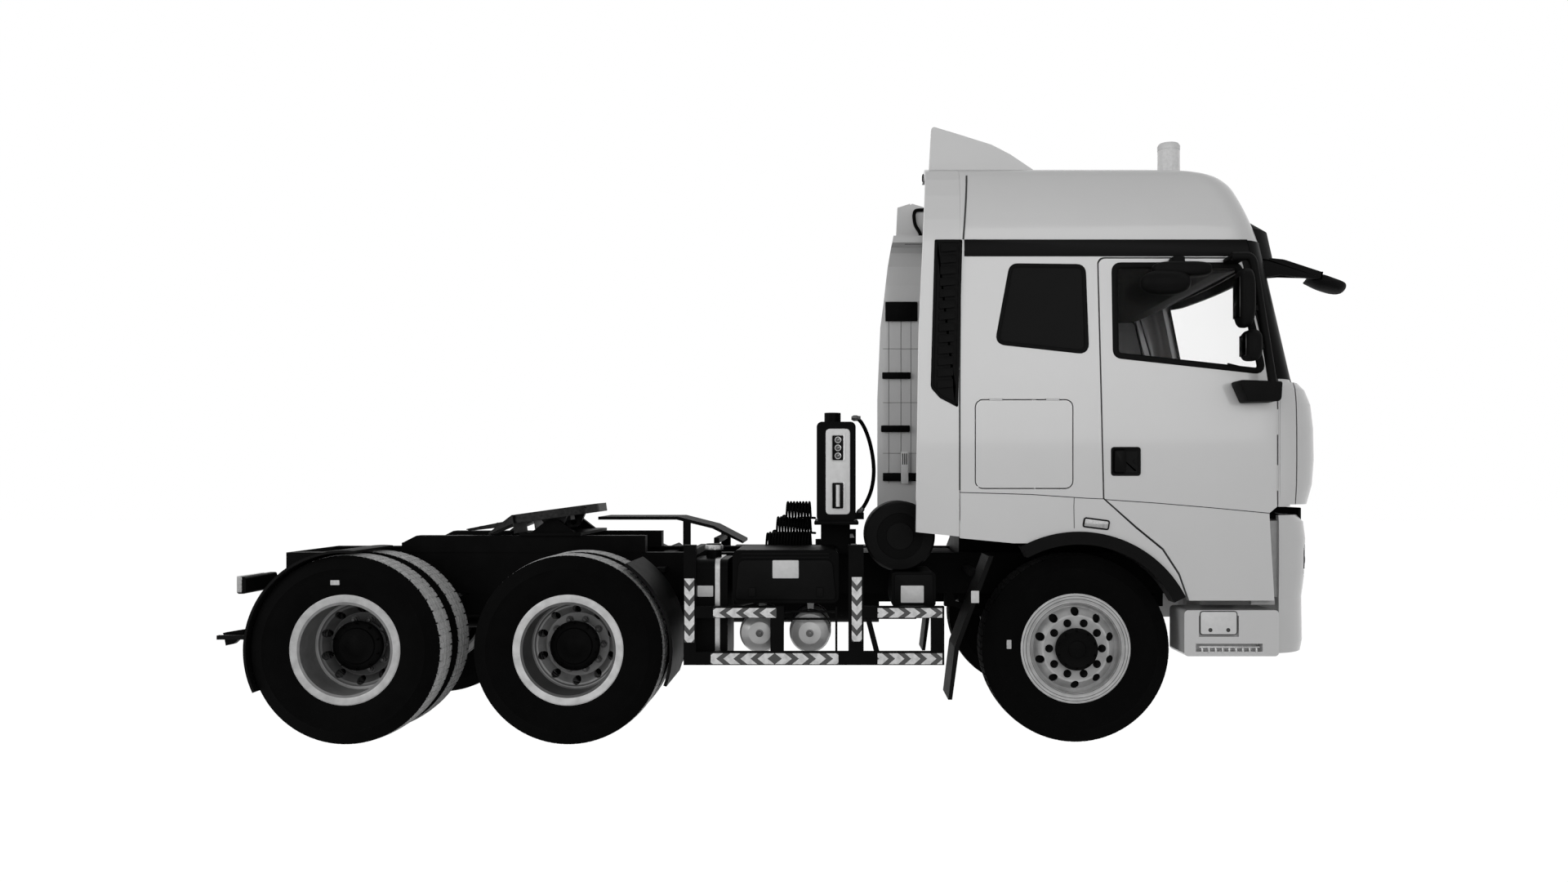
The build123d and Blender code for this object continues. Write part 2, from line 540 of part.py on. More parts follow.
export("side_windows", both(slab_y(grown(side_pane_line, -RIM_SEAT_GAP), -CAB_HALF + 8, -CAB_HALF + 20)))

hatch = slab_y(hatch_line, -CAB_HALF, -CAB_HALF + 40)
for x0 in (-560, -205):
    hatch = hatch + rod((x0, -LID_HINGE_Y, LID_HINGE_Z), (x0 + 80, -LID_HINGE_Y, LID_HINGE_Z), HINGE_R)
export("locker_right", hatch)
export("locker_left", left(hatch))

inner = CAB_HALF - CAB_WALL - SEAM
back_wall = block(CAB_REAR, CAB_REAR + CAB_WALL, -inner, inner, CAB_FLOOR + FLOOR_THICK + SEAM, ROOF_SEAM - SEAM)
export("cab_back", back_wall)

floor = block(CAB_REAR, 1249, -inner, inner, CAB_FLOOR, CAB_FLOOR + FLOOR_THICK)
arms = []
for side in (-1, 1):
    arm = slab_y([(PIVOT_ST - 50, PIVOT_Z - 45, 30), (PIVOT_ST + 45, PIVOT_Z - 45, 40), (PIVOT_ST + 45, PIVOT_Z + 45, 40),
                  (900, CAB_FLOOR), (740, CAB_FLOOR)], side * (RAIL_OUT + 10), side * (RAIL_OUT + 50))
    arms.append(arm - rod((PIVOT_ST, side * 300, PIVOT_Z), (PIVOT_ST, side * 700, PIVOT_Z), PIVOT_R + PIVOT_FIT))
export("cab_floor", bundle(floor, *arms))

screen_line = [(-1010, 2318, 60), (1010, 2318, 60), (965, 3120, 80), (-965, 3120, 80)]
front_wall = shell & block(900, 1700, -FAR, FAR, CAB_FLOOR - 1, ROOF_SEAM - SEAM)
front_wall = front_wall - slab_y(gap_line, -FAR, FAR)
front_wall = front_wall - block(0, 1249 + SEAM, -inner - SEAM, inner + SEAM, CAB_FLOOR - 10, CAB_FLOOR + FLOOR_THICK + SEAM)
screen_hole = slab_x(screen_line, 900, 1800)
front_wall = front_wall - screen_hole
for z0, z1 in door_hinge_rows:
    for side in (-1, 1):
        y = side * HINGE_Y
        front_wall = front_wall - rod((HINGE_ST, y, z0 - 5), (HINGE_ST, y, z1 + 5), HINGE_R + HINGE_FIT)
front_wall = max(front_wall.solids(), key=lambda s: s.volume) + corner_skin
for side in (-1, 1):
    for y0, y1 in ((236, 256), (344, 364)):
        ear = block(1418, PANEL_HINGE_ST, side * y0, side * y1, PANEL_HINGE_Z - 9, PANEL_HINGE_Z + 9)
        knob = rod((PANEL_HINGE_ST, side * y0, PANEL_HINGE_Z), (PANEL_HINGE_ST, side * y1, PANEL_HINGE_Z), 9)
        front_wall = front_wall + ear + knob
    front_wall = front_wall + rod((PANEL_HINGE_ST, side * 240, PANEL_HINGE_Z), (PANEL_HINGE_ST, side * 360, PANEL_HINGE_Z),
                                  PANEL_PIN_R)
export("cab_front", front_wall)
glass = body(cab_rows, CAB_REAR, 14) - body(cab_rows, CAB_REAR, 24, CAB_FLOOR - 5, ROOF_SEAM + 5)
glass = glass & slab_x(grown(screen_line, -RIM_SEAT_GAP), 950, 1800)
export("windscreen", glass)

roof_out = body(roof_rows, CAB_REAR, 0)
roof_in = body(roof_rows[:-1], CAB_REAR, CAB_WALL, ROOF_SEAM - 1, 3600)
export("cab_roof", roof_out - roof_in)

# Doors with glass
door = shell & slab_y(door_line, -FAR, -CAB_HALF + CAB_WALL)
door = door + (slab_y(door_line, -CAB_HALF, -CAB_HALF + CAB_WALL) & block(0, 1300, -FAR, 0, 900, SILL_LINE))
door = door - slab_y(pane_line, -FAR, 0)
door = max(door.solids(), key=lambda s: s.volume)
for z0, z1 in door_hinge_rows:
    door = door + rod((HINGE_ST, -HINGE_Y, z0), (HINGE_ST, -HINGE_Y, z1), HINGE_R)
pane = slab_y(grown(pane_line, -RIM_SEAT_GAP), -CAB_HALF + 22, -CAB_HALF + 34)
export("door_right", door)
export("door_left", left(door))
export("door_glass_right", pane)
export("door_glass_left", left(pane))

# Wheel arch trims
trim = guard_arc(0, ARCH_IN, ARCH_OUT, 27, 119, -CAB_HALF - 15, -CAB_HALF + 120)
export("arch_trims", both(trim))

# Front panel, bumper, lamps, steps
panel = panel_skin & block(PANEL_EDGE, 1700, -FAR, FAR, 1400, 2400)
for side in (-1, 1):
    tab = block(PANEL_HINGE_ST, PANEL_HINGE_ST + 52, side * 260, side * 340, PANEL_HINGE_Z - 7, PANEL_HINGE_Z + 5)
    sleeve = rod((PANEL_HINGE_ST, side * 260, PANEL_HINGE_Z), (PANEL_HINGE_ST, side * 340, PANEL_HINGE_Z), 9)
    panel = panel + tab + sleeve
    panel = panel - rod((PANEL_HINGE_ST, side * 200, PANEL_HINGE_Z), (PANEL_HINGE_ST, side * 400, PANEL_HINGE_Z),
                        PANEL_PIN_R + HINGE_FIT)
export("front_panel", panel)

bumper_rows = ((575, 1565, BUMPER_HALF, 300), (640, 1578, BUMPER_HALF, 300), (919, 1574, BUMPER_HALF, 300),
               (1080, 1596, BUMPER_HALF, 300), (1290, 1600, BUMPER_HALF, 300), (1400, 1586, BUMPER_HALF, 300),
               (1445, 1538, BUMPER_HALF, 290))
shell_bumper = body(bumper_rows, 600, 0) - body(bumper_rows, 600, 45, 570, 1450)
shell_bumper = shell_bumper & block(1275, 1700, -FAR, FAR, 500, 1500)
lamp_line = [(-1060, 1050, 40), (-740, 1050, 60), (-740, 1260, 60), (-1060, 1260, 40)]
lamp_cut = slab_x(lamp_line, 1200, 1700)
ties = [block(FRAME_FRONT, 1535, side * (RAIL_OUT - RAIL_FLANGE), side * RAIL_OUT, 880, 950) for side in (-1, 1)]
hull = shell_bumper - lamp_cut - left(lamp_cut)
export("bumper", fuse(hull, *ties))
export("headlamps", both(shell_bumper & slab_x(grown(lamp_line, -SEAM), 1200, 1700)))

step = soft_block(668, 1262, -1215, -900, 561, 850, 25)
step = step - block(760, 1010, -1300, -1190, 683, 815) - block(740, 1160, -1300, -1120, 590, 640)
step = step + block(900, 1000, -901, -RAIL_OUT, 760, 800) + block(900, 1000, -RAIL_OUT - 60, -RAIL_OUT, 760, 960)
export("steps", both(step))

# Fairings behind the cab, roof deflector, visor
tail_skin = body(roof_rows, -1200, 0) - body(roof_rows[:-1], -1300, 40, ROOF_SEAM - 1, 3600)
fairing_front = [(-748, 1314), (-748, ROOF_SEAM)]
upper_front = [(CAB_REAR - 0.4, ROOF_SEAM), (CAB_REAR - 0.4, 3660)]
low_right = [(-974, ROOF_SEAM), (-1000, 2600), (-1019, 1342)]
low_left = [(-1112, ROOF_SEAM), (-1140, 2950), (-1165, 2350), (-1165, 1342)]
fairing_right = slab_y(fairing_front + low_right, -CAB_HALF, -CAB_HALF + 40)
fairing_right = fairing_right + (tail_skin & slab_y(upper_front + [(-951, 3660), (-974, ROOF_SEAM)], -CAB_HALF, -900))
fairing_left = slab_y(fairing_front + low_left, CAB_HALF - 40, CAB_HALF)
tail_left = [(-1045, 3660), (-1080, 3450), (-1112, ROOF_SEAM)]
fairing_left = fairing_left + (tail_skin & slab_y(upper_front + tail_left, 900, CAB_HALF))
webs = [[block(-760, CAB_REAR, side * (CAB_HALF - 70), side * (CAB_HALF - 39), z, z + 60)
         for z in (1600, 2100, 2600, 3050)] for side in (-1, 1)]
export("side_fairings", bundle(fuse(fairing_right, *webs[0]), fuse(fairing_left, *webs[1])))
deflector = slab_y([(-920, 3655), (-904, 3943, 20), (-730, 3890), (-519, 3824), (-397, 3761), (-240, 3655)], -1040, 1040)
deflector = deflector - slab_y([(-1000, 3600), (-1000, 3900), (-870, 3895), (-730, 3850), (-519, 3784), (-397, 3721),
                                (-300, 3655), (-300, 3600)], -1000, 1000)
deflector = deflector - block(-1000, -755, -1000, 1000, 3600, 4000)
deflector = deflector + slab_y([(-1020, 3655), (-1008, 3905), (-904, 3938), (-900, 3655)], 1000, 1040)
export("roof_deflector", deflector)
visor_rows = ((3075, 1392, 1150, 250), (3262, 1350, 1150, 250), (3318, 1250, 1150, 250))
visor = body(visor_rows, 600, 0) - body(visor_rows, 600, 22, 3065, 3325)
visor = visor & block(1060, 1700, -FAR, FAR, 3000, 3400)
visor = visor - body(cab_rows, CAB_REAR, -4, None, ROOF_SEAM + 0.5) - roof_out
visor = max(visor.solids(), key=lambda s: s.volume)
export("sun_visor", visor)

# Mirrors
mirror_arm = fuse(slab_y([(900, 3022), (1014, 3022), (1132, 2270), (1180, 2270), (1056, 3050), (900, 3050)], -1410, -1370),
                  block(900, 1008, -1371, -CAB_HALF + 6.4, 3022, 3050),
                  slab_y([(1000, 2145), (1205, 2150), (1212, 2271), (940, 2281)], -1413, -CAB_HALF - SEAM))
# columns: rear, front, low, high, outer side, clamp front, clamp level
heads = ((918, 1018, 2595, 2953, -1530, 1090, 2720), (958, 1062, 2392, 2580, -1520, 1125, 2486))
for x0, x1, z0, z1, y0, clamp, level in heads:
    mirror_arm = mirror_arm + block(x1 - 10, clamp, -1405, -1375, level - 18, level + 18)
    mirror_arm = mirror_arm + soft_block(x0, x1, y0, -1330, z0, z1, 35)
kerb = fuse(soft_block(436, 801, -1440, -1290, 2946, 3022, 30), soft_block(356, 679, -1480, -1300, 2805, 2967, 60),
            block(560, 640, -1330, -CAB_HALF + 6.4, 3005, 3050))
export("mirrors_left", left(mirror_arm))
export("mirrors_right", bundle(mirror_arm, kerb))
look = slab_y([(1150, 3066), (1150, 2990), (1330, 2975), (1590, 2950), (1600, 3000), (1350, 3066)], -1075, -1035) - cab_out
look = look + slab_y([(1520, 2940, 20), (1570, 3008, 40), (FRONT_REACH, 2930), (1750, 2870, 30)], -1085, -860)
export("front_mirror", look)
export("beacon", rod((705, -750, 3600), (705, -750, 3914), 82) - roof_out)

# Cab interior
dash = slab_y([(820, 1620), (1400, 1620), (1400, 2240), (1000, 2260, 80), (860, 2120, 60)], -1120, 1120)
dash = dash & body(cab_rows, CAB_REAR, CAB_WALL + SEAM)
export("dashboard", dash)
seat = None
for y in (-560, 560):
    cushion = soft_block(160, 690, y - 250, y + 250, 1900, 2060, 60)
    rest = slab_y([(120, 1960, 40), (270, 1960, 40), (170, 2760, 60), (40, 2760, 60)], y - 240, y + 240)
    foot = block(260, 560, y - 180, y + 180, CAB_FLOOR + FLOOR_THICK, 1901)
    one = fuse(cushion, rest, foot)
    seat = one if seat is None else bundle(seat, one)
export("seats", seat)
wheel_ring = Pos(760, 560, 2240) * Rot(0, -25, 0) * (Solid.make_torus(225, 17))
spoke = Solid.make_box(440, 60, 20).moved(Location((-220, -30, -10)))
wheel_ring = wheel_ring + Pos(760, 560, 2240) * Rot(0, -25, 0) * spoke
column = rod((755, 560, 2245), (920, 560, 1985), 35)
export("steering_wheel", fuse(wheel_ring, column) - dash)

# Rear lamps on their bar
lamp_bar = block(FRAME_REAR - 60, FRAME_REAR - 12, -980, 980, 960, 1010)
for side in (-1, 1):
    lamp_bar = lamp_bar + soft_block(FRAME_REAR - 70, FRAME_REAR - 12, side * 980, side * 560, 930, 1040, 15)
export("rear_lamps", lamp_bar)
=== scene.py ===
import bpy
import bmesh
import math
import numpy as np
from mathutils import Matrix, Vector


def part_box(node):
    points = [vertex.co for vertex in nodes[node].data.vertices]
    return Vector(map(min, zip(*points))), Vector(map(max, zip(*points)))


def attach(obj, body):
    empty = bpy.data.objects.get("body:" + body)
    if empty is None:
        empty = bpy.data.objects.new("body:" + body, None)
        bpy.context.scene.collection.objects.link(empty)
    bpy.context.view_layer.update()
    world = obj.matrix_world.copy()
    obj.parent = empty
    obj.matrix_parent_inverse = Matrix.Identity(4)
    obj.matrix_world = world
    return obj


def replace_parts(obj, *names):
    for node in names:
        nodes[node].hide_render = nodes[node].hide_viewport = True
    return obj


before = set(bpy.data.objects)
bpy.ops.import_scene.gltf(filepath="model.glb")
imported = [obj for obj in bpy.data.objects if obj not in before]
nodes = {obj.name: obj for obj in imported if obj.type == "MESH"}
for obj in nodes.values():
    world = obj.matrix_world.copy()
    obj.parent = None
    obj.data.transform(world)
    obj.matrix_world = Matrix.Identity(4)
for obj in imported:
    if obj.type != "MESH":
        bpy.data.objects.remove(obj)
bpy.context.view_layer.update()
scene = bpy.context.scene
scene.view_settings.view_transform = "Standard"
hands = (("right", -1), ("left", 1))


def boxOf(node):
    low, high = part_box(node)
    return np.array(low), np.array(high)


# Stations are metres ahead of the front axle, as on a chassis drawing
frontLow, frontHigh = boxOf("tyre_front_right")
axleX = float(frontLow[0] + frontHigh[0]) / 2
tyreRadius = float(frontHigh[2] - frontLow[2]) / 2


def at(station):
    return np.asarray(station) + axleX


print("frame loaded, front axle at", round(axleX, 3))


# camera and light

view = {"station": -1.537, "side": -8.42, "eye": 1.656, "lens": 26.36, "sensor": 36, "far": 200,
        "shift": (-60 / 1920, 50 / 1920)}
cameraData = bpy.data.cameras.new("photoCamera")
cameraData.lens, cameraData.sensor_width, cameraData.clip_end = view["lens"], view["sensor"], view["far"]
cameraData.shift_x, cameraData.shift_y = view["shift"]
camera = bpy.data.objects.new("photoCamera", cameraData)
camera.location = (at(view["station"]), view["side"], view["eye"])
camera.rotation_euler = (math.pi / 2, 0, 0)
scene.collection.objects.link(camera)
scene.camera = camera


def nodeTree(owner):
    owner.use_nodes = True
    owner.node_tree.nodes.clear()
    return owner.node_tree


def addNode(tree, kind, feeds=None, **values):
    # feeds give an input a constant, a node's first output, or a (node, output) pair
    node = tree.nodes.new("ShaderNode" + kind)
    for key, value in values.items():
        setattr(node, key, value)
    for key, value in (feeds or {}).items():
        source = value if isinstance(value, tuple) else (value, 0)
        if isinstance(source[0], bpy.types.Node):
            tree.links.new(source[0].outputs[source[1]], node.inputs[key])
        else:
            node.inputs[key].default_value = value
    return node


def seenDirectly(tree):
    # 1 for camera, mirror and glass rays, 0 for the light that falls on things
    path = addNode(tree, "LightPath")
    first = addNode(tree, "Math", {0: (path, "Is Camera Ray"), 1: (path, "Is Glossy Ray")}, operation="MAXIMUM")
    return addNode(tree, "Math", {0: first, 1: (path, "Is Transmission Ray")}, operation="MAXIMUM")


studio = {"horizon": 0.83, "zenith": 0.04, "backdrop": 1.0, "floor": 0.92, "whiteness": 0.97, "floorGlow": 1.04}
white = (1, 1, 1, 1)
world = bpy.data.worlds.new("studioSky")
scene.world = world
tree = nodeTree(world)
skyPlace = addNode(tree, "SeparateXYZ", {0: (addNode(tree, "TexCoord"), "Generated")})
skyLevel = addNode(tree, "MapRange", {0: (skyPlace, "Z"), "To Min": studio["horizon"], "To Max": studio["zenith"]})
sky = addNode(tree, "Background", {"Color": white, "Strength": skyLevel})
backdrop = addNode(tree, "Background", {"Color": white, "Strength": studio["backdrop"]})
addNode(tree, "OutputWorld", {0: addNode(tree, "MixShader", {0: seenDirectly(tree), 1: sky, 2: backdrop})})

# name: place, aim, size, power
lamps = {"keyLamp": ((3.0, -11.0, 4.2), (0.5, 0, 1.8), (7, 4), 250),
         "fillLamp": ((-7.0, -5.0, 4.5), (0.6, 0.6, 2.2), (4, 4), 210)}
for name, (spot, aim, size, power) in lamps.items():
    lamp = bpy.data.lights.new(name, "AREA")
    lamp.shape = "RECTANGLE"
    lamp.size, lamp.size_y = size
    lamp.energy = power
    holder = bpy.data.objects.new(name, lamp)
    holder.location = spot
    way = np.array(aim) - np.array(spot)
    flat = math.hypot(way[0], way[1])
    holder.rotation_euler = (math.atan2(flat, -way[2]), 0, math.atan2(way[1], way[0]) - math.pi / 2)
    holder.visible_camera = False
    scene.collection.objects.link(holder)


# mesh helpers: arrays in, closed meshes out

def finishMesh(name, points, faces, body, material, sharp=35, uv=None):
    mesh = bpy.data.meshes.new(name)
    mesh.from_pydata(points.tolist(), [], faces)
    if uv is not None:
        layer = mesh.uv_layers.new(name="along")
        corners = np.empty(len(mesh.loops), np.int32)
        mesh.loops.foreach_get("vertex_index", corners)
        layer.data.foreach_set("uv", uv[corners].astype(np.float32).ravel())
    work = bmesh.new()
    work.from_mesh(mesh)
    bmesh.ops.remove_doubles(work, verts=work.verts, dist=2e-6)
    bmesh.ops.recalc_face_normals(work, faces=work.faces)
    work.to_mesh(mesh)
    work.free()
    mesh.shade_smooth()
    mesh.set_sharp_from_angle(angle=math.radians(sharp))
    piece = bpy.data.objects.new(name, mesh)
    scene.collection.objects.link(piece)
    piece.data.materials.append(material)
    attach(piece, body)
    return piece


def gridFaces(nu, nv, closeU, closeV, start=0):
    # quads between neighbouring rows and columns, wrapped where the grid closes
    u = np.arange(nu if closeU else nu - 1)
    v = np.arange(nv if closeV else nv - 1)
    a, b = [m.ravel() for m in np.meshgrid(u, v, indexing="ij")]
    c, d = (a + 1) % nu, (b + 1) % nv
    return np.stack([a * nv + b, c * nv + b, c * nv + d, a * nv + d], 1) + start


# kinds of surface, each (grid, closeU, closeV, capEnds): closed at both ends, open at the ends, turned about an axle
def solid(grid):
    return grid, False, True, True


def sleeve(grid):
    return grid, False, True, False


def lathe(grid):
    return grid, True, False, False


def skin(surfaces):
    # one mesh from several surfaces
    points, faces, count = [], [], 0
    for grid, closeU, closeV, caps in surfaces:
        nu, nv = grid.shape[:2]
        points.append(grid.reshape(-1, 3))
        faces += gridFaces(nu, nv, closeU, closeV, count).tolist()
        if caps:
            faces.append(list(range(count, count + nv))[::-1])
            faces.append(list(range(count + (nu - 1) * nv, count + nu * nv)))
        count += nu * nv
    return np.concatenate(points), faces


def piece(name, surfaces, body, material, sharp=35):
    points, faces = skin(surfaces)
    return finishMesh(name, points, faces, body, material, sharp)


def mirrored(grid, side):
    # side -1 keeps the right-hand shape, side 1 gives its mirror image
    return grid * (1, -side, 1)


def pair(name, surfaces, body, material):
    # a right-hand piece and its mirror image; a body that ends in _ is one of two
    for hand, side in hands:
        owner = body + hand if body.endswith("_") else body
        piece(f"{name}_{hand}", [(mirrored(grid, side), *kind) for grid, *kind in surfaces], owner, material)


def spun(profile, centre, steps=96):
    # surface of revolution: each (radius, y) point turned about the Y axis through centre (x, z)
    profile = np.asarray(profile, float)
    turn = np.linspace(0, 2 * np.pi, steps, endpoint=False)[:, None]
    r, y = profile[:, 0][None, :], profile[:, 1][None, :]
    return lathe(np.stack([centre[0] + r * np.cos(turn), y + 0 * turn, centre[1] + r * np.sin(turn)], 2))


def tubeGrid(path, radius, sides=12):
    # a circle carried along a path, square to it, with the path's own plane as its upright
    path = np.asarray(path, float)
    way = np.gradient(path, axis=0)
    way /= np.linalg.norm(way, axis=1)[:, None]
    spread = np.linalg.svd(path - path.mean(0))[2]
    upright = spread[2] if len(path) > 2 else np.roll(way[0], 1)
    across = np.cross(way, upright)
    across /= np.maximum(np.linalg.norm(across, axis=1), 1e-9)[:, None]
    above = np.cross(across, way)
    turn = np.linspace(0, 2 * np.pi, sides, endpoint=False)[None, :, None]
    radius = np.asarray(radius, float).reshape(-1, 1, 1)
    return solid(path[:, None] + radius * (across[:, None] * np.cos(turn) + above[:, None] * np.sin(turn)))


def roundBox(low, high, r, k=4):
    # rounded box: a small ball's point moved out to the corner of the box that its octant faces
    low, high = np.asarray(low, float), np.asarray(high, float)
    half, centre = (high - low) / 2 - r, (low + high) / 2
    lat = np.concatenate([np.linspace(-90, 0, k), np.linspace(0, 90, k)])
    up = np.repeat([-1, 1], k)
    lon = np.concatenate([np.linspace(90 * q, 90 * q + 90, k) for q in range(4)])
    east, north = np.repeat([1, -1, -1, 1], k), np.repeat([1, 1, -1, -1], k)
    lat, lon = np.radians(lat)[:, None], np.radians(lon)[None, :]
    x = east[None] * half[0] + r * np.cos(lat) * np.cos(lon)
    y = north[None] * half[1] + r * np.cos(lat) * np.sin(lon)
    z = up[:, None] * half[2] + r * np.sin(lat) + 0 * lon
    return solid(centre + np.stack([x, y, z], 2))


def block(x0, x1, y0, y1, z0, z1, r=0.004):
    return roundBox((at(x0), y0, z0), (at(x1), y1, z1), r, 3)


def shellGrid(low, high, power, steps=(24, 32)):
    # superellipsoid: a ball squared off towards its box by the power
    low, high = np.asarray(low, float), np.asarray(high, float)
    lat = np.linspace(-np.pi / 2, np.pi / 2, steps[0])[:, None]
    lon = np.linspace(0, 2 * np.pi, steps[1], endpoint=False)[None, :]
    up, out, east, north = [np.sign(v) * np.abs(v) ** power for v in (np.sin(lat), np.cos(lat), np.cos(lon),
                                                                      np.sin(lon))]
    return (low + high) / 2 + np.stack([out * east, out * north, up + 0 * lon], 2) * (high - low) / 2


def roundedLoop(points, n=5):
    # a polygon with each corner (u, v, radius) turned into an arc of n points
    points = np.array([tuple(p) + (0,) * (3 - len(p)) for p in points])
    spots, radii = points[:, :2], points[:, 2]
    back = np.roll(spots, 1, 0) - spots
    ahead = np.roll(spots, -1, 0) - spots
    back /= np.linalg.norm(back, axis=1)[:, None]
    ahead /= np.linalg.norm(ahead, axis=1)[:, None]
    half = np.arccos(np.clip((back * ahead).sum(1), -1, 1)) / 2
    reach = (radii / np.tan(half))[:, None]
    t = np.linspace(0, 1, n)[None, :, None]
    start, end = (spots + back * reach)[:, None], (spots + ahead * reach)[:, None]
    arc = (1 - t) ** 2 * start + 2 * t * (1 - t) * spots[:, None] + t ** 2 * end
    return arc.reshape(-1, 2)


def square(x0, x1, z0, z1, r):
    return [(x0, z0, r), (x1, z0, r), (x1, z1, r), (x0, z1, r)]


def loopOffset(loop, d):
    # moves a closed loop in along its own normals
    way = np.roll(loop, -1, 0) - np.roll(loop, 1, 0)
    way /= np.maximum(np.linalg.norm(way, axis=1), 1e-9)[:, None]
    area = np.sum(loop[:, 0] * np.roll(loop[:, 1], -1) - np.roll(loop[:, 0], -1) * loop[:, 1])
    return loop + np.sign(area) * d * np.stack([-way[:, 1], way[:, 0]], 1)


def carried(loop, rows):
    # a small section of (inset, depth) rows carried round a closed loop
    return np.array([np.insert(loopOffset(loop, d), 1, y, axis=1) for d, y in rows])


def loopBead(points, rows):
    # the same round a rounded polygon, as a window rubber is
    return carried(roundedLoop(points, 6), rows)


def plate(points, y0, y1, edge=0.004, n=5):
    # flat plate in the XZ plane between two depths: its loop, drawn in at both faces by a rounded edge
    sign = 1 if y1 > y0 else -1
    inset = ((edge, 0), (edge * 0.3, edge * 0.3), (0, edge))
    rows = [(d, y0 + sign * y) for d, y in inset] + [(d, y1 - sign * y) for d, y in inset[::-1]]
    return carried(roundedLoop(points, n), rows)


def placed(grid, y=0.0):
    # a plate drawn in stations, moved out to depth y
    return np.stack([at(grid[..., 0]), grid[..., 1] + y, grid[..., 2]], -1)


def standing(line, depth):
    # (station, level) points as a path in space at one depth
    line = np.asarray(line, float)
    return np.stack([at(line[:, 0]), np.full(len(line), depth), line[:, 1]], 1)


def smoothRows(rows, count):
    # Catmull-Rom curve through the rows, one column at a time
    rows = np.asarray(rows, float)
    rows = np.concatenate([2 * rows[:1] - rows[1:2], rows, 2 * rows[-1:] - rows[-2:-1]])
    place = np.linspace(0, len(rows) - 3 - 1e-6, count)
    i = place.astype(int)
    t = (place - i)[:, None]
    a, b, c, d = [rows[i + k] for k in range(4)]
    return 0.5 * (2 * b + (c - a) * t + (2 * a - 5 * b + 4 * c - d) * t ** 2 + (3 * b - a - 3 * c + d) * t ** 3)


# finishes

def ramp(tree, source, stops, flat=False):
    # greys along a ramp, from (position, grey) stops
    node = addNode(tree, "ValToRGB", {0: source})
    node.color_ramp.interpolation = "CONSTANT" if flat else "LINEAR"
    marks = node.color_ramp.elements
    for i, (place, grey) in enumerate(stops):
        mark = marks[i] if i < 2 else marks.new(place)
        mark.position = place
        mark.color = (grey, grey, grey, 1)
    return node


def surfaced(stuff, feeds):
    # ends a material's tree with its shader
    tree = stuff.node_tree
    addNode(tree, "OutputMaterial", {0: addNode(tree, "BsdfPrincipled", feeds)})
    return stuff


def finish(name, base, rough, metal=0.0, vary=0.12, scale=6.0, grain=0.0, grainScale=400.0,
           coat=0.0, dust=None, sheen=0.0, shine=0.5, uneven=0.08):
    # paint, plastic or metal: cloudy colour and gloss, a fine grain in the normal, dust that thins with height
    stuff = bpy.data.materials.new(name)
    tree = nodeTree(stuff)
    place = (addNode(tree, "TexCoord"), "Object")
    cloud = addNode(tree, "TexNoise", {"Vector": place, "Scale": scale, "Detail": 5.0, "Roughness": 0.6})
    tone = ramp(tree, cloud, [(0.3, base * (1 - vary)), (0.7, base * (1 + vary))])
    colour = (tone, 0)
    if dust:
        low, high, most, grey = dust
        height = (addNode(tree, "SeparateXYZ", {0: place}), "Z")
        fade = addNode(tree, "MapRange", {0: height, "From Min": low, "From Max": high, "To Min": most, "To Max": 0.0})
        speck = addNode(tree, "Math", {0: fade, 1: cloud}, operation="MULTIPLY")
        colour = (addNode(tree, "Mix", {0: speck, 6: tone, 7: (grey, grey, grey, 1)}, data_type="RGBA"), 2)
    gloss = addNode(tree, "MapRange", {0: cloud, "To Min": max(0.02, rough - uneven), "To Max": rough + uneven})
    feeds = {"Base Color": colour, "Roughness": gloss, "Metallic": metal, "Specular IOR Level": shine,
             "Coat Weight": coat, "Coat Roughness": 0.06, "Sheen Weight": sheen}
    if grain:
        fine = addNode(tree, "TexNoise", {"Vector": place, "Scale": grainScale, "Detail": 2.0})
        feeds["Normal"] = addNode(tree, "Bump", {"Height": fine, "Strength": grain, "Distance": 0.0008})
    return surfaced(stuff, feeds)


cabPaint = finish("cabPaint", 0.52, 0.30, vary=0.015, scale=1.4, grain=0.05, grainScale=220, coat=0.4, uneven=0.02)
bandBlack = finish("bandBlack", 0.002, 0.34, vary=0.25, scale=3, grain=0.1, grainScale=500, shine=0.05)
trimBlack = finish("trimBlack", 0.003, 0.55, vary=0.3, scale=8, grain=0.45, grainScale=700, shine=0.05)
frameBlack = finish("frameBlack", 0.002, 0.46, vary=0.4, scale=5, grain=0.15, grainScale=160, shine=0.03,
                    dust=(0.3, 1.2, 0.03, 0.03))
axleBlack = finish("axleBlack", 0.002, 0.5, vary=0.4, scale=7, grain=0.3, grainScale=90, shine=0.03,
                   dust=(0.2, 0.9, 0.03, 0.03))
rubber = finish("rubber", 0.0015, 0.72, vary=0.35, scale=9, grain=0.35, grainScale=350, shine=0.025,
                dust=(0.0, 0.7, 0.02, 0.03))
# tread crowns: the twin tyres' pale finish is dust with painted sunlight, the front tyres' dark one is painted shade
treadDustAndSunlight = finish("treadDustAndSunlight", 0.50, 0.85, vary=0.18, scale=24, grain=0.5, grainScale=220, shine=0.1)
treadPaintedShade = finish("treadPaintedShade", 0.008, 0.8, vary=0.5, scale=24, grain=0.5, grainScale=220, shine=0.05)
tankGrey = finish("tankGrey", 0.36, 0.34, metal=0.4, vary=0.12, scale=6, grain=0.08, grainScale=300)
wornSteel = finish("wornSteel", 0.09, 0.42, metal=0.7, vary=0.5, scale=11, grain=0.4, grainScale=120)
greasySteel = finish("greasySteel", 0.012, 0.5, vary=0.9, scale=45, grain=0.6, grainScale=60, shine=0.15)
dashGrey = finish("dashGrey", 0.05, 0.6, vary=0.15, scale=5, grain=0.4, grainScale=600)
seatCloth = finish("seatCloth", 0.035, 0.9, vary=0.3, scale=30, grain=0.6, grainScale=900, sheen=0.3)
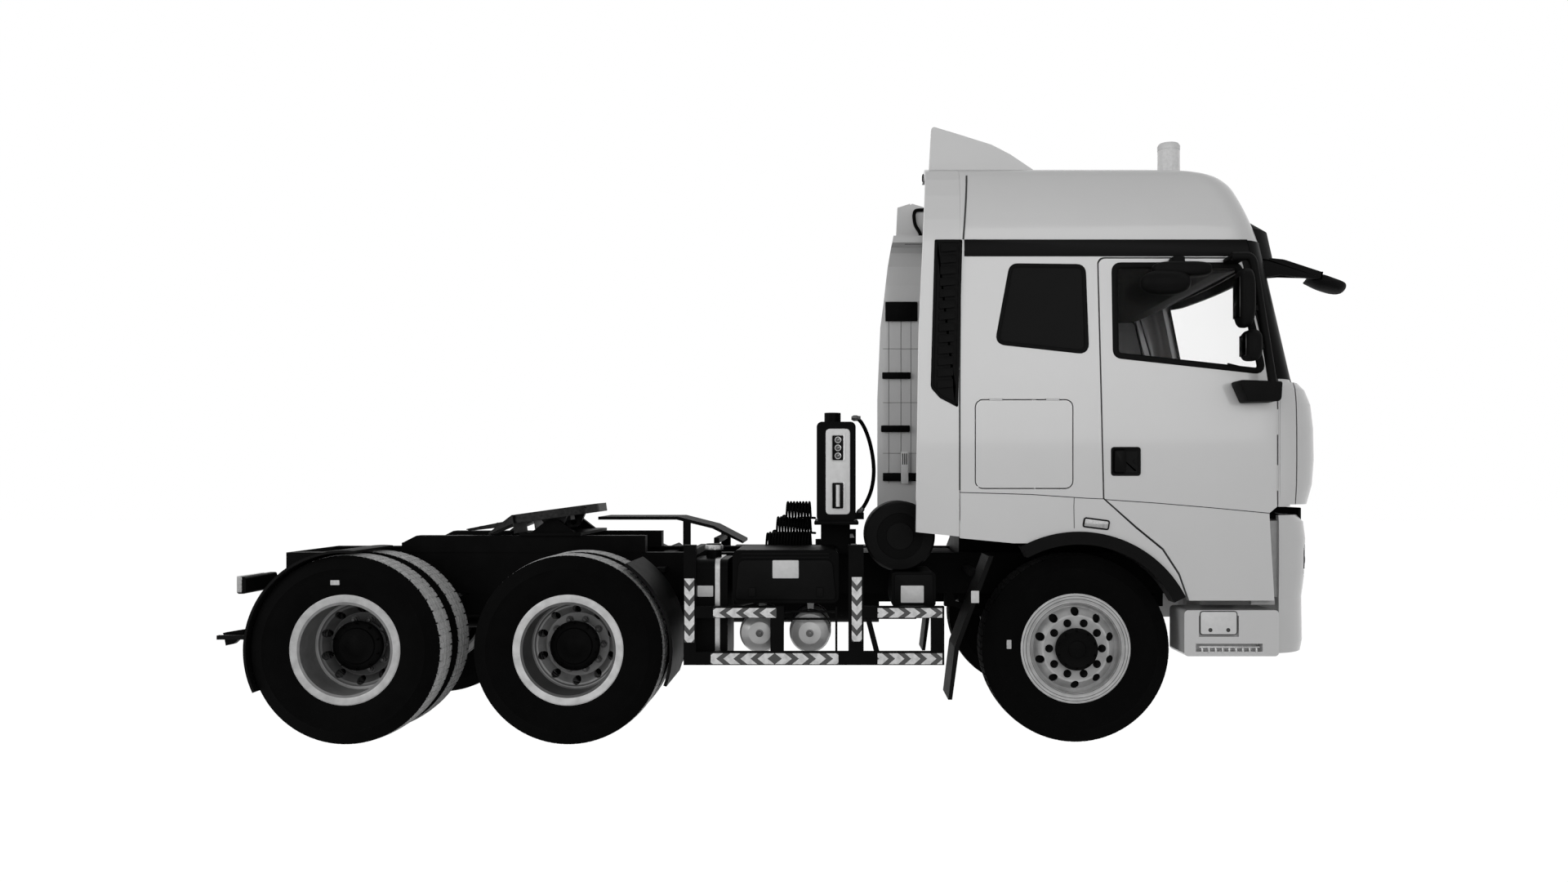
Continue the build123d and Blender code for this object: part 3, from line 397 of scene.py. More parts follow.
lampBody = finish("lampBody", 0.02, 0.3, vary=0.2, scale=10, grain=0.1)
lensGrey = finish("lensGrey", 0.30, 0.16, vary=0.25, scale=60, grain=0.3, grainScale=500, coat=0.8)
seamDark = finish("seamDark", 0.02, 0.7, vary=0.2, scale=20)
lensPale = finish("lensPale", 0.62, 0.18, vary=0.08, scale=50, grain=0.2, grainScale=300, coat=0.6)
linerPale = finish("linerPale", 0.34, 0.85, vary=0.08, scale=30, grain=0.5, grainScale=800)
labelPale = finish("labelPale", 0.55, 0.5, vary=0.06, scale=40)
strapSteel = finish("strapSteel", 0.42, 0.3, metal=0.8, vary=0.15, scale=25, grain=0.1)
panelPale = finish("panelPale", 0.60, 0.4, vary=0.05, scale=30, grain=0.1)
paneDark = finish("paneDark", 0.005, 0.10, vary=0.1, scale=2, shine=0.02)
paneClear = bpy.data.materials.new("paneClear")
nodeTree(paneClear)
surfaced(paneClear, {"Base Color": (0.96, 0.96, 0.96, 1), "Roughness": 0.0, "IOR": 1.06, "Transmission Weight": 1.0})

finishOf = {
    cabPaint: ["cab_back", "cab_sides", "cab_front", "cab_roof", "side_fairings", "roof_deflector",
               "front_panel", "locker_right", "locker_left", "door_right", "door_left", "bumper", "steps"],
    trimBlack: ["arch_trims", "mirrors_right", "mirrors_left", "front_mirror", "mudguards", "sun_visor", "cable_bundle"],
    frameBlack: ["chassis_frame", "side_guards", "side_boxes", "hydraulic_tank", "fifth_wheel_base",
                 "air_filter", "leaf_springs", "side_tanks", "rear_lamps"],
    axleBlack: ["front_axle", "drive_axles", "engine", "knuckle_right", "knuckle_left", "tie_rod"],
    rubber: ["tyre_front_right", "tyre_front_left", "tyres_middle_right", "tyres_middle_left",
             "tyres_rear_right", "tyres_rear_left", "hydraulic_hose"],
    tankGrey: ["air_tanks"],
    greasySteel: ["fifth_wheel"],
    dashGrey: ["dashboard", "steering_wheel", "cab_floor"],
    seatCloth: ["seats"],
    paneClear: ["windscreen", "door_glass_right", "door_glass_left", "headlamps", "beacon"],
    paneDark: ["side_windows"],
}


def coated(node, stuff):
    nodes[node].data.materials.clear()
    nodes[node].data.materials.append(stuff)


for stuff, names in finishOf.items():
    for name in names:
        coated(name, stuff)
print("finishes on", sum(len(names) for names in finishOf.values()), "of", len(nodes), "nodes")


# tyres with a ribbed road tread, in place of the plain solids

# the last two entries bound the crown faces that take the painted sunlight and the painted shade
tyreShape = {"half": 0.156, "drawnRadius": 0.6, "shave": 0.0005, "crownHalf": 0.118, "crownDrop": 0.055, "pitches": 46,
             "groove": 0.014, "zigzag": 0.014, "slot": 0.011, "sipe": 0.004, "dustAndLightShare": 0.978, "dustAndLightHalf": 0.110}
sideRows = np.array([(0.306, 0.090), (0.312, 0.112), (0.334, 0.124), (0.340, 0.1275), (0.346, 0.126),
                     (0.385, 0.141), (0.430, 0.1525), (0.470, 0.156), (0.505, 0.1535), (0.512, 0.1555),
                     (0.519, 0.1515), (0.548, 0.140), (0.572, 0.129), (0.583, 0.1235), (0.592, 0.120)])
# across the tread: (y, groove share, slot share, zigzag share)
treadRows = np.array([(0.118, 0, 0.7, 0), (0.112, 0, 1, 0), (0.086, 0, 1, 0), (0.080, 0, 0.9, 1), (0.0785, 1, 1, 1),
                      (0.068, 1, 1, 1), (0.0665, 0, 0.35, 1), (0.050, 0, 0.35, 1), (0.034, 0, 0.35, 1),
                      (0.0325, 1, 1, 1), (0.022, 1, 1, 1), (0.0205, 0, 0.35, 1), (0.0, 0, 0.35, 1)])
# round the tread, in shares of a pitch: (place, in a slot, in a sipe)
pitchRows = np.array([(0.0, 0, 0), (0.02, 1, 0), (0.13, 1, 0), (0.15, 0, 0), (0.5, 0, 0), (0.52, 0, 1), (0.57, 0, 1),
                      (0.59, 0, 0)])


def tyreGrid(centreX, centreY, radius):
    # a tyre's section turned about its axle; depth is cut where a groove runs round or a slot runs across,
    # and the ribs' edges sway with a triangle wave
    rows = np.concatenate([treadRows, treadRows[:-1][::-1] * (-1, 1, 1, 1)])
    crown = radius - tyreShape["crownDrop"] * rows[:, 0] ** 2 / tyreShape["crownHalf"]
    wall = sideRows[:, 0] * radius / tyreShape["drawnRadius"]
    y = np.concatenate([sideRows[:, 1], rows[:, 0], -sideRows[::-1, 1]])
    r = np.concatenate([wall, crown, wall[::-1]])
    blank = np.zeros(len(sideRows))
    groove, slot, sway = [np.concatenate([blank, rows[:, i], blank]) for i in (1, 2, 3)]
    count = tyreShape["pitches"]
    phase, inSlot, inSipe = [np.tile(column, count)[:, None] for column in pitchRows.T]
    turn = (np.repeat(np.arange(count), len(pitchRows))[:, None] + phase) * 2 * np.pi / count
    wave = 2 * np.abs(phase * 2 - 1) - 1
    depth = np.maximum(groove * tyreShape["groove"], inSlot * slot * tyreShape["slot"])
    depth = np.maximum(depth, inSipe * (slot > 0) * tyreShape["sipe"])
    across = centreY + y + sway * wave * tyreShape["zigzag"] / 2
    return np.stack([centreX + (r - depth) * np.cos(turn), across, tyreRadius + (r - depth) * np.sin(turn)], 2)


def tyrePiece(node, body):
    low, high = boxOf(node)
    centreX = (low[0] + high[0]) / 2
    half = tyreShape["half"]
    single = high[1] - low[1] < 3 * half
    middles = [(low[1] + high[1]) / 2] if single else [low[1] + half, high[1] - half]
    grids = [tyreGrid(centreX, y, tyreRadius - tyreShape["shave"]) for y in middles]
    tyre = piece(node + "_tread", [lathe(np.concatenate([grid, grid[:, :1]], 1)) for grid in grids], body, rubber, 28)
    # the crown's second finish: dust and painted sunlight on the twin tyres, painted shade on the single front tyre
    tyre.data.materials.append(treadPaintedShade if single else treadDustAndSunlight)
    centres = np.empty(len(tyre.data.polygons) * 3)
    tyre.data.polygons.foreach_get("center", centres)
    centres = centres.reshape(-1, 3)
    radial = np.hypot(centres[:, 0] - centreX, centres[:, 2] - tyreRadius)
    across = np.min([np.abs(centres[:, 1] - y) for y in middles], axis=0)
    crown = (radial > tyreRadius * tyreShape["dustAndLightShare"]) & (across < tyreShape["dustAndLightHalf"])
    tyre.data.polygons.foreach_set("material_index", crown.astype(np.int32))
    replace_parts(tyre, node)
    return centreX, middles


wheelSets = []
for place in ("front", "middle", "rear"):
    for hand, side in hands:
        front = place == "front"
        body = f"front_wheel_{hand}" if front else f"{place}_wheels_{hand}"
        node = f"tyre_front_{hand}" if front else f"tyres_{place}_{hand}"
        wheelSets.append((place, hand, side, body, *tyrePiece(node, body)))
print("tyres with tread:", len(wheelSets), "sets")


# wheels: tone by the distance from the axle, in flat bands of (radius, grey); the bands paint shade, darker in the dish
# of the twin sets and darkest on the rear, lighter on the front, with thin dark rings at the rim's steps

rimShadeBands = {"front": [(0.0, 0.006), (0.120, 0.33), (0.200, 0.42), (0.286, 0.05), (0.291, 0.38), (0.312, 0.07),
                      (0.316, 0.42), (0.330, 0.07), (0.334, 0.48)],
            "middle": [(0.0, 0.006), (0.120, 0.22), (0.258, 0.02), (0.268, 0.20), (0.275, 0.06), (0.300, 0.56)],
            "rear": [(0.0, 0.006), (0.120, 0.03), (0.200, 0.07), (0.258, 0.02), (0.268, 0.22), (0.275, 0.17),
                     (0.300, 0.44)]}
rimEdge = 0.36


def rimShadeFinish(name, centreX, bands):
    stuff = bpy.data.materials.new(name)
    tree = nodeTree(stuff)
    place = (addNode(tree, "TexCoord"), "Object")
    move = addNode(tree, "Mapping", {0: place, "Location": (-centreX, 0, -tyreRadius), "Scale": (1, 0, 1)})
    far = (addNode(tree, "VectorMath", {0: move}, operation="LENGTH"), "Value")
    share = addNode(tree, "Math", {0: far, 1: rimEdge}, operation="DIVIDE")
    # these greys hold painted shade as well as the rim's own paint: each axle's dish gets its own darkness
    tone = ramp(tree, share, [(radius / rimEdge, grey) for radius, grey in bands], flat=True)
    cloud = addNode(tree, "TexNoise", {"Vector": place, "Scale": 14.0, "Detail": 6.0})
    stain = ramp(tree, cloud, [(0.3, 0.72), (0.65, 1.0)])
    blend = addNode(tree, "Mix", {0: 1.0, 6: tone, 7: stain}, data_type="RGBA", blend_type="MULTIPLY")
    gloss = addNode(tree, "MapRange", {0: cloud, "To Min": 0.36, "To Max": 0.56})
    return surfaced(stuff, {"Base Color": (blend, 2), "Roughness": gloss, "Metallic": 0.2})


# wheel nuts, hubs, drums, lock rings and balance marks; profiles are (radius, distance out)

tyreMark = finish("tyreMark", 0.45, 0.7, vary=0.2, scale=60)
wheelFace = {"studs": 10, "circle": 0.1675, "nut": 0.0205, "flange": 0.127, "bolt": 0.007, "boltInset": 0.014,
             "boltStart": 18,
             "drum": [(0.128, 0.0), (0.258, 0.0), (0.258, -0.012), (0.128, -0.012), (0.128, 0.0)],
             "ring": [(0.300, -0.010), (0.300, 0.0), (0.306, 0.003), (0.342, 0.003), (0.349, -0.002), (0.349, -0.012),
                      (0.300, -0.010)]}
# front faces count from the tyre's middle, twin ones from the pair's
faceOf = {True: {"face": 0.122, "drum": 0.070, "capOut": 0.165,
                 "cap": [(0.129, -0.080), (0.129, -0.012), (0.134, -0.004), (0.133, 0.002), (0.112, 0.010),
                         (0.100, 0.006),
                         (0.058, 0.008), (0.052, 0.014), (0.025, 0.018), (0.0, 0.018)]},
          False: {"face": 0.016, "drum": -0.070, "capOut": 0.110,
                  "cap": [(0.128, -0.090), (0.134, -0.046), (0.158, -0.034), (0.160, 0.0), (0.150, 0.008),
                          (0.118, 0.012),
                          (0.112, 0.020), (0.060, 0.024), (0.052, 0.030), (0.0, 0.032)]}}
# station and level from the axle, half sizes
markOf = {"front": (-0.426, 0.030, 0.015, 0.028), "rear": (-0.050, 0.426, 0.028, 0.015)}
markDepth = (0.148, 0.1558)
nutRows = np.array([(1.25, 0.0), (1.25, 0.004), (1.0, 0.004), (1.0, 0.020), (0.86, 0.024), (0.55, 0.024), (0.55, 0.036),
                    (0.45, 0.040), (0.0, 0.040)])


def nutGrid(x, y, z, side, size):
    # six-sided nut with a washer below and a short stud end, all turned about the stud
    rows = nutRows * (size, side) + (0, y)
    turn = np.radians(np.arange(12) * 30)[:, None]
    six = np.where(np.arange(12) % 2 == 0, 1.0, math.cos(math.pi / 6))[:, None]
    sided = (nutRows[:, 0] > 0.8) & (nutRows[:, 0] < 1.1)
    r = rows[:, 0] * np.where(sided, six, 1.0)
    return np.stack([x + r * np.cos(turn), rows[:, 1] + 0 * r, z + r * np.sin(turn)], 2)


def studCircle(x, y, side, circle, size, start=0.0):
    spots = np.radians(np.arange(wheelFace["studs"]) * 360 / wheelFace["studs"] + start)
    return [lathe(nutGrid(x + circle * math.cos(a), y, tyreRadius + circle * math.sin(a), side, size)) for a in spots]


def turnedPart(profile, x, y, side, steps):
    # a profile on the axle at station x, its distances out counted from depth y
    return [spun(np.array(profile) * (1, side) + (0, y), (x, tyreRadius), steps)]


for place, hand, side, body, x, middles in wheelSets:
    front = place == "front"
    shape = faceOf[front]
    outerY = max(middles, key=abs)
    base = outerY if front else sum(middles) / 2
    # each axle's rim finish carries that axle's painted shade
    rimShadeTone = rimShadeFinish(f"rim_{place}_{hand}", x, rimShadeBands[place])
    coated(f"wheel_{place}_{hand}" if front else f"wheels_{place}_{hand}", rimShadeTone)
    nuts = studCircle(x, base + side * shape["face"], side, wheelFace["circle"], wheelFace["nut"])
    piece(f"nuts_{place}_{hand}", nuts, body, axleBlack if front else wornSteel, 30)
    piece(f"drum_{place}_{hand}", turnedPart(wheelFace["drum"], x, base + side * shape["drum"], side, 64), body,
          axleBlack)
    ring = turnedPart(wheelFace["ring"], x, outerY + side * wheelFace["flange"], side, 128)
    piece(f"rim_ring_{place}_{hand}", ring, body, rimShadeTone)
    capY = base + side * shape["capOut"]
    piece(f"hub_cap_{place}_{hand}", turnedPart(shape["cap"], x, capY, side, 64), body, axleBlack)
    bolts = studCircle(x, capY + side * 0.008, side, shape["cap"][3][0] - wheelFace["boltInset"], wheelFace["bolt"],
                       wheelFace["boltStart"])
    piece(f"hub_bolts_{place}_{hand}", bolts, body, axleBlack, 30)
    if place in markOf:
        dx, dz, halfX, halfZ = markOf[place]
        spotX, spotZ = x + dx, tyreRadius + dz
        mark = plate(square(spotX - halfX, spotX + halfX, spotZ - halfZ, spotZ + halfZ, 0.004),
                     *[outerY + side * depth for depth in markDepth], 0.001)
        piece(f"tyre_mark_{place}_{hand}", [solid(mark)], body, tyreMark)
print("nuts, rings and hub caps on", len(wheelSets), "wheels")


# cab sides: band, louvres, window rubbers, handles, lamps and seams, on the right and mirrored on the left

sideFace = {"half": 1.245, "lean": 0.008, "from": 2.291, "over": 0.874}


def onSkin(grid):
    # depth counts from the flat cab side, which leans in a little above the window line
    lean = sideFace["lean"] * np.clip((grid[..., 2] - sideFace["from"]) / sideFace["over"], 0, 1)
    return np.stack([at(grid[..., 0]), grid[..., 1] - (sideFace["half"] - lean), grid[..., 2]], -1)


def onFairing(grid):
    # the same for the upright fairing behind the cab
    return placed(grid, -sideFace["half"])


def seamStrip(points, width, depth=0.0012):
    # a thin dark line: a flat ribbon along a polyline, slightly proud of the panel
    points = np.array(points, float)
    way = np.gradient(points, axis=0)
    way /= np.linalg.norm(way, axis=1)[:, None]
    off = np.stack([-way[:, 1], way[:, 0]], 1) * width / 2
    rows = ((points - off, 0.004), (points - off, -depth), (points + off, -depth), (points + off, 0.004))
    return np.stack([np.insert(row, 1, d, axis=1) for row, d in rows], 1)


sideBand = [(-0.716, 3.066), (1.075, 3.066), (1.052, 3.172), (-0.716, 3.172)]
pair("side_band", [solid(onSkin(plate(sideBand, 0.003, -0.004, 0.002)))], "cab", bandBlack)

louvre = {"line": [(-0.902, 3.170, 0.01), (-0.729, 3.170, 0.01), (-0.755, 2.120, 0.01), (-0.870, 2.180, 0.05),
                   (-0.927, 2.245, 0.05)], "slats": 13, "top": 3.120, "bottom": 2.270, "half": 0.049, "x": -0.815,
          "drift": -0.022, "tall": 0.026, "slope": 0.010, "rise": 0.09,
          "frame": [(0.0, 0.004), (0.0, -0.004), (0.003, -0.006), (0.016, -0.006), (0.020, -0.003), (0.022, 0.001)],
          "back": [(0.0, 0.002), (0.012, -0.0015), (0.02, -0.0015)]}
slats = []
for t in np.linspace(0, 1, louvre["slats"]):
    z = louvre["top"] + (louvre["bottom"] - louvre["top"]) * t
    x = louvre["x"] + louvre["drift"] * t
    half, tall = louvre["half"], louvre["tall"]
    slat = plate(square(x - half, x + half, z - tall, z + tall, 0.004), 0, -0.006, 0.0015, 3)
    slat[..., 1] -= louvre["slope"] * (0.5 - (slat[..., 2] - z) / (2 * tall)) + 0.001
    slat[..., 2] += louvre["rise"] * (slat[..., 0] - x)
    slats.append(solid(onFairing(slat)))
pair("louvre_frame", [sleeve(onFairing(loopBead(louvre["line"], louvre["frame"]))),
                      solid(onFairing(loopBead(louvre["line"], louvre["back"])))], "cab", trimBlack)
pair("louvre_slats", slats, "cab", trimBlack)

sideWindow = {"line": [(-0.419, 3.007, 0.045), (0.028, 3.002, 0.045), (0.048, 2.469, 0.045), (-0.508, 2.530, 0.045)],
              "rows": [(0.012, 0.010), (0.010, -0.001), (0.002, -0.005), (-0.010, -0.005), (-0.016, -0.002),
                       (-0.017, 0.004)]}
doorWindow = {"line": [(0.224, 3.009, 0.040), (1.000, 3.009, 0.040), (1.150, 2.347, 0.040), (0.232, 2.448, 0.040)],
              "rows": [(0.020, 0.030), (0.018, -0.001), (0.006, -0.006), (-0.012, -0.006), (-0.020, -0.002),
                       (-0.021, 0.004)]}
for name, pane, body in (("side_window", sideWindow, "cab"), ("door_window", doorWindow, "door_")):
    pair(name + "_rubber", [sleeve(onSkin(loopBead(pane["line"], pane["rows"])))], body, trimBlack)

handle = {"box": (0.200, 0.386, 1.693, 1.874), "corner": 0.022, "grip": (0.018, 0.092, 0.020), "lock": 0.035,
          "cup": [(0, 0.003), (0, -0.003), (0.003, -0.006), (0.012, -0.006), (0.018, -0.002), (0.03, -0.0012)],
          "lockRows": [(0.0, -0.006), (0.011, -0.006), (0.012, -0.004), (0.012, 0.002)]}
x0, x1, z0, z1 = handle["box"]
near, far, inset = handle["grip"]
cup = loopBead(square(x0, x1, z0, z1, handle["corner"]), handle["cup"])
grip = plate(square(x0 + near, x0 + far, z0 + inset, z1 - inset, 0.014), 0.0, -0.022, 0.009)
lock = spun(handle["lockRows"], (x1 - handle["lock"], (z0 + z1) / 2), 24)
pair("door_handle", [solid(onSkin(cup)), solid(onSkin(grip)), lathe(onSkin(lock[0]))], "door_", bandBlack)

sideLamp = {"line": [(0.027, 1.378, 0.01), (0.180, 1.359, 0.01), (0.189, 1.410, 0.012), (0.036, 1.430, 0.012)],
            "bezel": [(-0.006, 0.002), (-0.006, -0.005), (-0.002, -0.008), (0.003, -0.008), (0.006, -0.004)]}
pair("side_lamp_bezel", [sleeve(onSkin(loopBead(sideLamp["line"], sideLamp["bezel"])))], "cab", trimBlack)
pair("side_lamp", [solid(onSkin(plate(sideLamp["line"], 0.0, -0.007, 0.004)))], "cab", lensGrey)

# name: line, body, width
seams = {"lower": ([(-0.745, 1.590), (-0.3, 1.577), (0.040, 1.554), (0.150, 1.549)], "cab", 0.005),
         "rear": ([(-0.745, 1.604), (-0.745, 2.2), (-0.742, 2.8), (-0.742, 3.165)], "cab", 0.010),
         "mark": ([(-0.030, 1.556), (-0.032, 1.50), (-0.030, 1.365)], "cab", 0.004),
         "sill": ([(0.168, 1.545), (0.5, 1.522), (0.85, 1.492), (1.188, 1.460)], "door_", 0.005)}
for name, (line, body, width) in seams.items():
    pair("seam_" + name, [(onSkin(seamStrip(line, width)), False, False, True)], body, seamDark)
print("cab sides dressed")


# warning tape on the side guards

def tapeFinish():
    # dark arrows on pale tape: the distance from the arrows' centre plus the distance from the strip's middle, in pitches
    stuff = bpy.data.materials.new("warningTape")
    tree = nodeTree(stuff)
    parts = addNode(tree, "SeparateXYZ", {0: addNode(tree, "UVMap", uv_map="along")})
    middle = addNode(tree, "Math", {0: (parts, "Y"), 1: 0.5}, operation="SUBTRACT")
    away = addNode(tree, "Math", {0: middle}, operation="ABSOLUTE")
    reach = addNode(tree, "Math", {0: away, 1: 0.80, 2: (parts, "X")}, operation="MULTIPLY_ADD")
    turn = addNode(tree, "Math", {0: reach}, operation="FRACT")
    pick = addNode(tree, "Math", {0: turn, 1: 0.42}, operation="LESS_THAN")
    grime = addNode(tree, "TexNoise", {"Vector": (addNode(tree, "TexCoord"), "Object"), "Scale": 35.0, "Detail": 6.0})
    pale = ramp(tree, grime, [(0.25, 0.42), (0.6, 0.66)])
    mix = addNode(tree, "Mix", {0: pick, 6: pale, 7: (0.014, 0.014, 0.014, 1)}, data_type="RGBA")
    gloss = addNode(tree, "MapRange", {0: grime, "To Min": 0.25, "To Max": 0.5})
    return surfaced(stuff, {"Base Color": (mix, 2), "Roughness": gloss, "Coat Weight": 0.4})


warningTape = tapeFinish()
guardFace = boxOf("side_guards")[0][1]
tapeDepth = (-0.0012, 0.0004)
# rows: x0, x1, z0, z1, arrows' centre, pitch; a post's arrows run down from the top
tapeRows = {"rear_top": (-2.287, -1.891, 0.806, 0.866, -1.891, 0.105),
            "low": (-2.302, -1.503, 0.515, 0.583, -1.902, 0.107),
            "front_top": (-1.258, -0.853, 0.806, 0.866, -1.290, 0.100),
            "front_low": (-1.258, -0.853, 0.515, 0.583, -1.290, 0.100),
            "rear_post": (-2.467, -2.405, 0.651, 1.051, 1.10, 0.093),
            "mid_post": (-1.4195, -1.357, 0.657, 1.060, 1.10, 0.093)}
for hand, side in hands:
    for name, (x0, x1, z0, z1, centre, pitch) in tapeRows.items():
        upright = name.endswith("post")
        along = np.array([z0, (z0 + z1) / 2, z1] if upright else sorted({x0, x1, float(np.clip(centre, x0, x1))}))
        across = (x0, x1) if upright else (z0, z1)
        a, c = np.meshgrid(along, [across[0], across[1], across[1], across[0]], indexing="ij")
        x, z = (c, a) if upright else (a, c)
        y = guardFace + np.repeat(tapeDepth, 2) + 0 * a
        uv = np.stack([np.abs(a - centre) / pitch, (c - across[0]) / (across[1] - across[0])], 2).reshape(-1, 2)
        points, faces = skin([solid(mirrored(np.stack([at(x), y, z], 2), side))])
        finishMesh(f"tape_{name}_{hand}", points, faces, "chassis", warningTape, uv=uv)
print("warning tape on the guards")


# boxes, tanks and filter beside the frame

def onChassis(name, surfaces, material, sharp=35):
    return piece(name, surfaces, "chassis", material, sharp)


def facePlate(box, corner, depth, thick, edge):
    # a rectangular plate on a face at the given depth, from just inside it to just outside
    return solid(placed(plate(square(*box, corner), *thick, edge), depth))


batteryFace = -1.120
boxFace = -1.100
labels = {"battery_label": ((-1.921, -1.755, 1.044, 1.158), batteryFace - 0.010),
          "box_label": ((-1.105, -0.959, 0.886, 0.995), boxFace - 0.008),
          "tank_label": ((-2.400, -2.300, 0.925, 0.995), -1.110)}
for name, (box, depth) in labels.items():
    onChassis(name, [facePlate(box, 0.006, depth, (0.002, -0.002), 0.001)], labelPale)

batteryLid = {"line": [(-2.160, 0.905, 0.03), (-1.516, 0.905, 0.03), (-1.540, 1.160, 0.05), (-2.136, 1.160, 0.05)],
              "ribs": (1.175, 1.198), "latches": (-2.05, -1.62)}
ribs = [facePlate((-2.12, -1.56, z - 0.006, z + 0.006), 0.005, batteryFace, (0.004, -0.005), 0.004)
        for z in batteryLid["ribs"]]
latches = [facePlate((x - 0.022, x + 0.022, 0.925, 0.985), 0.008, batteryFace, (0, -0.018), 0.006)
           for x in batteryLid["latches"]]
cover = plate(batteryLid["line"], 0.004, -0.010, 0.008)
onChassis("battery_cover", [solid(placed(cover, batteryFace))] + ribs, trimBlack)
onChassis("battery_latches", latches, trimBlack)
onChassis("valve_box_cover", [facePlate((-1.145, -0.900, 0.872, 1.066), 0.02, boxFace, (0.004, -0.008), 0.006)],
          trimBlack)

smallTank = {"cap": (-2.316, -0.900, 1.232), "strap": -2.272, "loop": (-1.113, -0.637, 0.497, 1.163),
             "strapRows": [(0.0, -0.017), (-0.003, -0.015), (-0.003, 0.015), (0.0, 0.017)], "gripFrom": 0.054,
             "gripDepth": 0.03,
             "capRows": [(0.050, -0.02), (0.058, -0.018), (0.058, 0.006), (0.052, 0.014), (0.020, 0.017), (0.0, 0.017)]}
strapLoop = roundedLoop(square(*smallTank["loop"], 0.06))
strap = np.array([np.insert(loopOffset(strapLoop, d), 0, at(smallTank["strap"] + w), axis=1) for d,
                  w in smallTank["strapRows"]])
onChassis("small_tank_strap", [sleeve(strap)], strapSteel)


def uprightSpun(rows, centre, steps, wave):
    # (radius, height) rows turned about an upright axis, each radius scaled by its wave
    turn = np.linspace(0, 2 * np.pi, steps, endpoint=False)
    x, y, z = centre
    return sleeve(np.stack([np.stack([x + r * wave(r, turn) * np.cos(turn), y + r * wave(r, turn) * np.sin(turn),
                                      np.full(steps, z + h)], 1) for r, h in rows]))


def capGrip(r, turn):
    return np.where(r > smallTank["gripFrom"], 1 + smallTank["gripDepth"] * np.sign(np.sin(turn * 8)), 1)


capX, capY, capZ = smallTank["cap"]
onChassis("small_tank_cap", [uprightSpun(smallTank["capRows"], (at(capX), capY, capZ), 40, capGrip)], strapSteel)

airTank = {"stations": (-2.002, -1.684), "z": 0.697, "r": 0.130, "bands": (-0.98, -0.66),
           "band": [(0.0, -0.018), (0.004, -0.018), (0.004, 0.018), (0.0, 0.018), (0.0, -0.018)],
           "plug": [(0.024, -1.146), (0.024, -1.154), (0.015, -1.156), (0.013, -1.168), (0.008, -1.170), (0.0, -1.170)]}
centres = [(at(x), airTank["z"]) for x in airTank["stations"]]
bands = [spun(np.array(airTank["band"]) + (airTank["r"], y), centre, 64) for centre in centres
         for y in airTank["bands"]]
onChassis("air_tank_bands", bands, frameBlack)
onChassis("air_tank_drains", [spun(airTank["plug"], centre, 24) for centre in centres], wornSteel)
rack = {"x": (-1.862, -1.516), "z": (0.505, 0.866), "levels": (0.505, 0.836, 0.79), "face": -1.168, "bar": 0.014}
x0, x1 = rack["x"]
y, bar = rack["face"], rack["bar"]
bars = [block(x - bar / 2, x + bar / 2, y, y + bar, *rack["z"], 0.003) for x in rack["x"]]
bars += [block(x0, x1, y, y + bar, z - bar / 2, z + bar / 2, 0.003) for z in rack["levels"]]
onChassis("air_tank_rack", bars, frameBlack)

filterDrum = {"x": -1.105, "z": 1.305, "ribs": [(0.222 + 0.004 * (i % 2), -0.56 - 0.06 * i) for i in range(7)],
              "face": [(0.222, -0.965), (0.228, -0.968), (0.228, -0.992), (0.214, -1.012), (0.150, -1.014),
                       (0.146, -1.008),
                       (0.090, -1.008), (0.086, -1.016), (0.030, -1.018), (0.0, -1.018)]}
rows = [(0.222, -0.52)] + filterDrum["ribs"] + filterDrum["face"]
onChassis("air_filter_shell", [spun(rows, (at(filterDrum["x"]), filterDrum["z"]), 72)], trimBlack)
pair("flap_reflector", [facePlate((-0.672, -0.622, 0.897, 0.974), 0.006, -1.2255, (0, -0.006), 0.003)], "chassis",
     labelPale)


# hydraulic tank: pale face frame, dark windows, three dials and a level gauge

oilTank = {"face": -0.900, "frame": (-1.585, -1.425, 1.442, 2.004), "middle": -1.505,
           "windows": ((-1.548, -1.462, 1.790, 1.966), (-1.548, -1.462, 1.474, 1.656)), "dials": (1.930, 1.878, 1.826),
           "bead": [(0.0, -0.011), (0.0, -0.017), (0.004, -0.018), (0.007, -0.016), (0.008, -0.013)],
           "ring": [(0.020, -0.914), (0.021, -0.918), (0.017, -0.919), (0.016, -0.9155)],
           "dialFace": [(0.0165, -0.9150), (0.0, -0.9152)], "tube": (-0.918, 1.494, 1.636, 0.013),
           "needle": [(-1.5065, -0.002), (-1.4935, 0.006), (-1.4945, 0.009), (-1.508, 0.001)],
           "tray": (-1.66, -1.37, -0.93, -0.44, 1.375, 1.400)}
face, middle = oilTank["face"], at(oilTank["middle"])
windows = [facePlate(box, 0.016, face, (0.0, -0.0145), 0.002) for box in oilTank["windows"]]
rims = [sleeve(placed(loopBead(square(*box, 0.016), oilTank["bead"]), face)) for box in oilTank["windows"]]
for z in oilTank["dials"]:
    needle = plate([(x, z + dz) for x, dz in oilTank["needle"]], -0.0160, -0.0168, 0.0003, 2)
    rims += [spun(oilTank["ring"], (middle, z), 32), solid(placed(needle, face))]
y, z0, z1, r = oilTank["tube"]
onChassis("oil_face", [facePlate(oilTank["frame"], 0.03, face, (0.004, -0.012), 0.006)], panelPale)
onChassis("oil_windows", windows, bandBlack)
onChassis("oil_rims", rims, strapSteel)
onChassis("oil_dials", [spun(oilTank["dialFace"], (middle, z), 32) for z in oilTank["dials"]], lampBody)
onChassis("oil_gauge", [tubeGrid([(middle, y, z0), (middle, y, z1)], r, 16)], panelPale)
onChassis("oil_tray", [block(*oilTank["tray"], 0.006)], frameBlack)
print("side equipment dressed")


# front: grille, lamps, wipers and plate, laid on the bowed front

